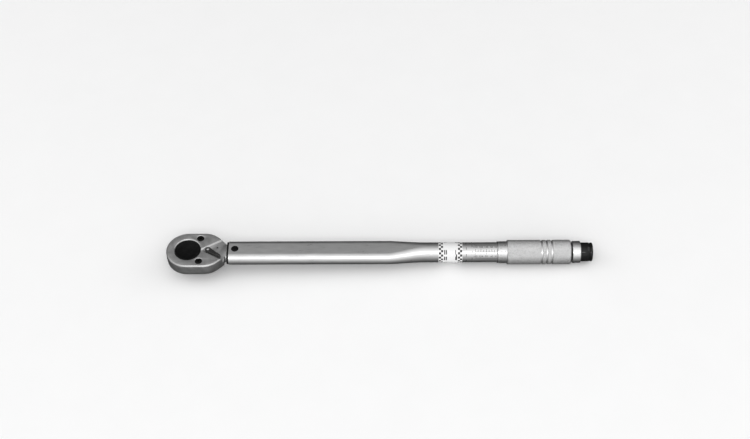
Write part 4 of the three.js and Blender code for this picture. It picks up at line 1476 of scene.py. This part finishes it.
knob_outline += [(knob_low.x + knob_socket, lock_thread + 0.2)]
knob = turned("lock_knob_fine", knob_outline, sides=128, hollow=True, sharp=50)
fit(knob, knob_plastic(), "lock_knob", "lock_knob")

# ------------------------------------------------------------------ stage
# A plain pale table under the wrench, which lies on its drive square and its grip.
# One large soft light by the camera, one behind and one at each end, in a dim room.

floor_size = 6.0
wrench_middle = 0.2065


def bench():
    """The table top: one large flat sheet, turned a little so that square and grip touch it."""
    grip_low, grip_high = span("handle")
    drop = math.atan2(grip_low.z, grip_high.x - square_half)
    bm = bmesh.new()
    bmesh.ops.create_grid(bm, x_segments=1, y_segments=1, size=floor_size / MM)
    sheet = finish_piece("bench_top", bm)
    sheet.rotation_euler = (0, -drop, 0)
    sheet.location = (square_half * MM, 0, -0.0002)
    paper = Finish("pale_paper", 0.8, 0.0)
    paper.colour(paper.grain(0.02, detail=2), (0.3, 0.93), (0.7, 0.94))
    sheet.data.materials.append(paper.material)
    sheet.visible_glossy = False


bench()


def softbox(name, place, aim, width, height, radiance):
    """A soft rectangular light of an even brightness, given as what a mirror would show."""
    data = bpy.data.lights.new(name, "AREA")
    data.shape = "RECTANGLE"
    data.size = width
    data.size_y = height
    data.energy = radiance * width * height * math.pi
    lamp = bpy.data.objects.new(name, data)
    lamp.location = place
    lamp.rotation_euler = (Vector(aim) - Vector(place)).to_track_quat("-Z", "Y").to_euler()
    bpy.context.scene.collection.objects.link(lamp)


middle = Vector((wrench_middle, 0, axis_z * MM))
softbox("front_light", (wrench_middle, -1.1, 1.45), middle, 1.7, 0.7, 0.3)
softbox("strip_light", (wrench_middle, -1.223, 1.206), middle, 1.3, 0.09, 11.0)
softbox("left_light", (-1.5, 0.1, 1.1), middle, 1.6, 1.2, 1.05)
softbox("right_light", (1.9, 0.1, 1.1), middle, 1.6, 1.2, 1.05)

world = bpy.data.worlds.new("tent")
world.use_nodes = True
tent = world.node_tree
way = tent.nodes.new("ShaderNodeTexCoord")
facing = tent.nodes.new("ShaderNodeVectorMath")
facing.operation = "DOT_PRODUCT"
tent.links.new(way.outputs["Generated"], facing.inputs[0])
facing.inputs[1].default_value = (0, -0.648, 0.762)
share = tent.nodes.new("ShaderNodeMapRange")
tent.links.new(facing.outputs["Value"], share.inputs["Value"])
share.inputs["From Min"].default_value = -1
tent_ramp = tent.nodes.new("ShaderNodeValToRGB")
tent.links.new(share.outputs["Result"], tent_ramp.inputs["Fac"])
tent_stops = tent_ramp.color_ramp.elements
tent_stops[0].color = (0.02, 0.02, 0.02, 1)
tent_stops[1].color = (0.9, 0.9, 0.9, 1)
for place, tone in ((0.2, 0.04), (0.5, 0.16), (0.75, 0.38), (0.91, 0.76)):
    stop = tent_stops.new(place)
    stop.color = (tone, tone, tone, 1)
backdrop = tent.nodes["Background"]
tent.links.new(tent_ramp.outputs["Color"], backdrop.inputs["Color"])
backdrop.inputs["Strength"].default_value = 1.5
bpy.context.scene.world = world
bpy.context.scene.view_settings.view_transform = "Standard"

elevation = math.radians(49.6)
distance = 1.571
aim = Vector((wrench_middle, 0.048, axis_z * MM))
camera_data = bpy.data.cameras.new("camera")
camera_data.lens = 66.9
camera_data.sensor_width = 36
camera = bpy.data.objects.new("camera", camera_data)
away = Vector((0, -math.cos(elevation), math.sin(elevation)))
camera.location = aim + away * distance
tilt = Matrix.Rotation(math.radians(-0.2), 3, "Z")
camera.rotation_euler = ((-away).to_track_quat("-Z", "Y").to_matrix() @ tilt).to_euler()
bpy.context.scene.collection.objects.link(camera)
bpy.context.scene.camera = camera
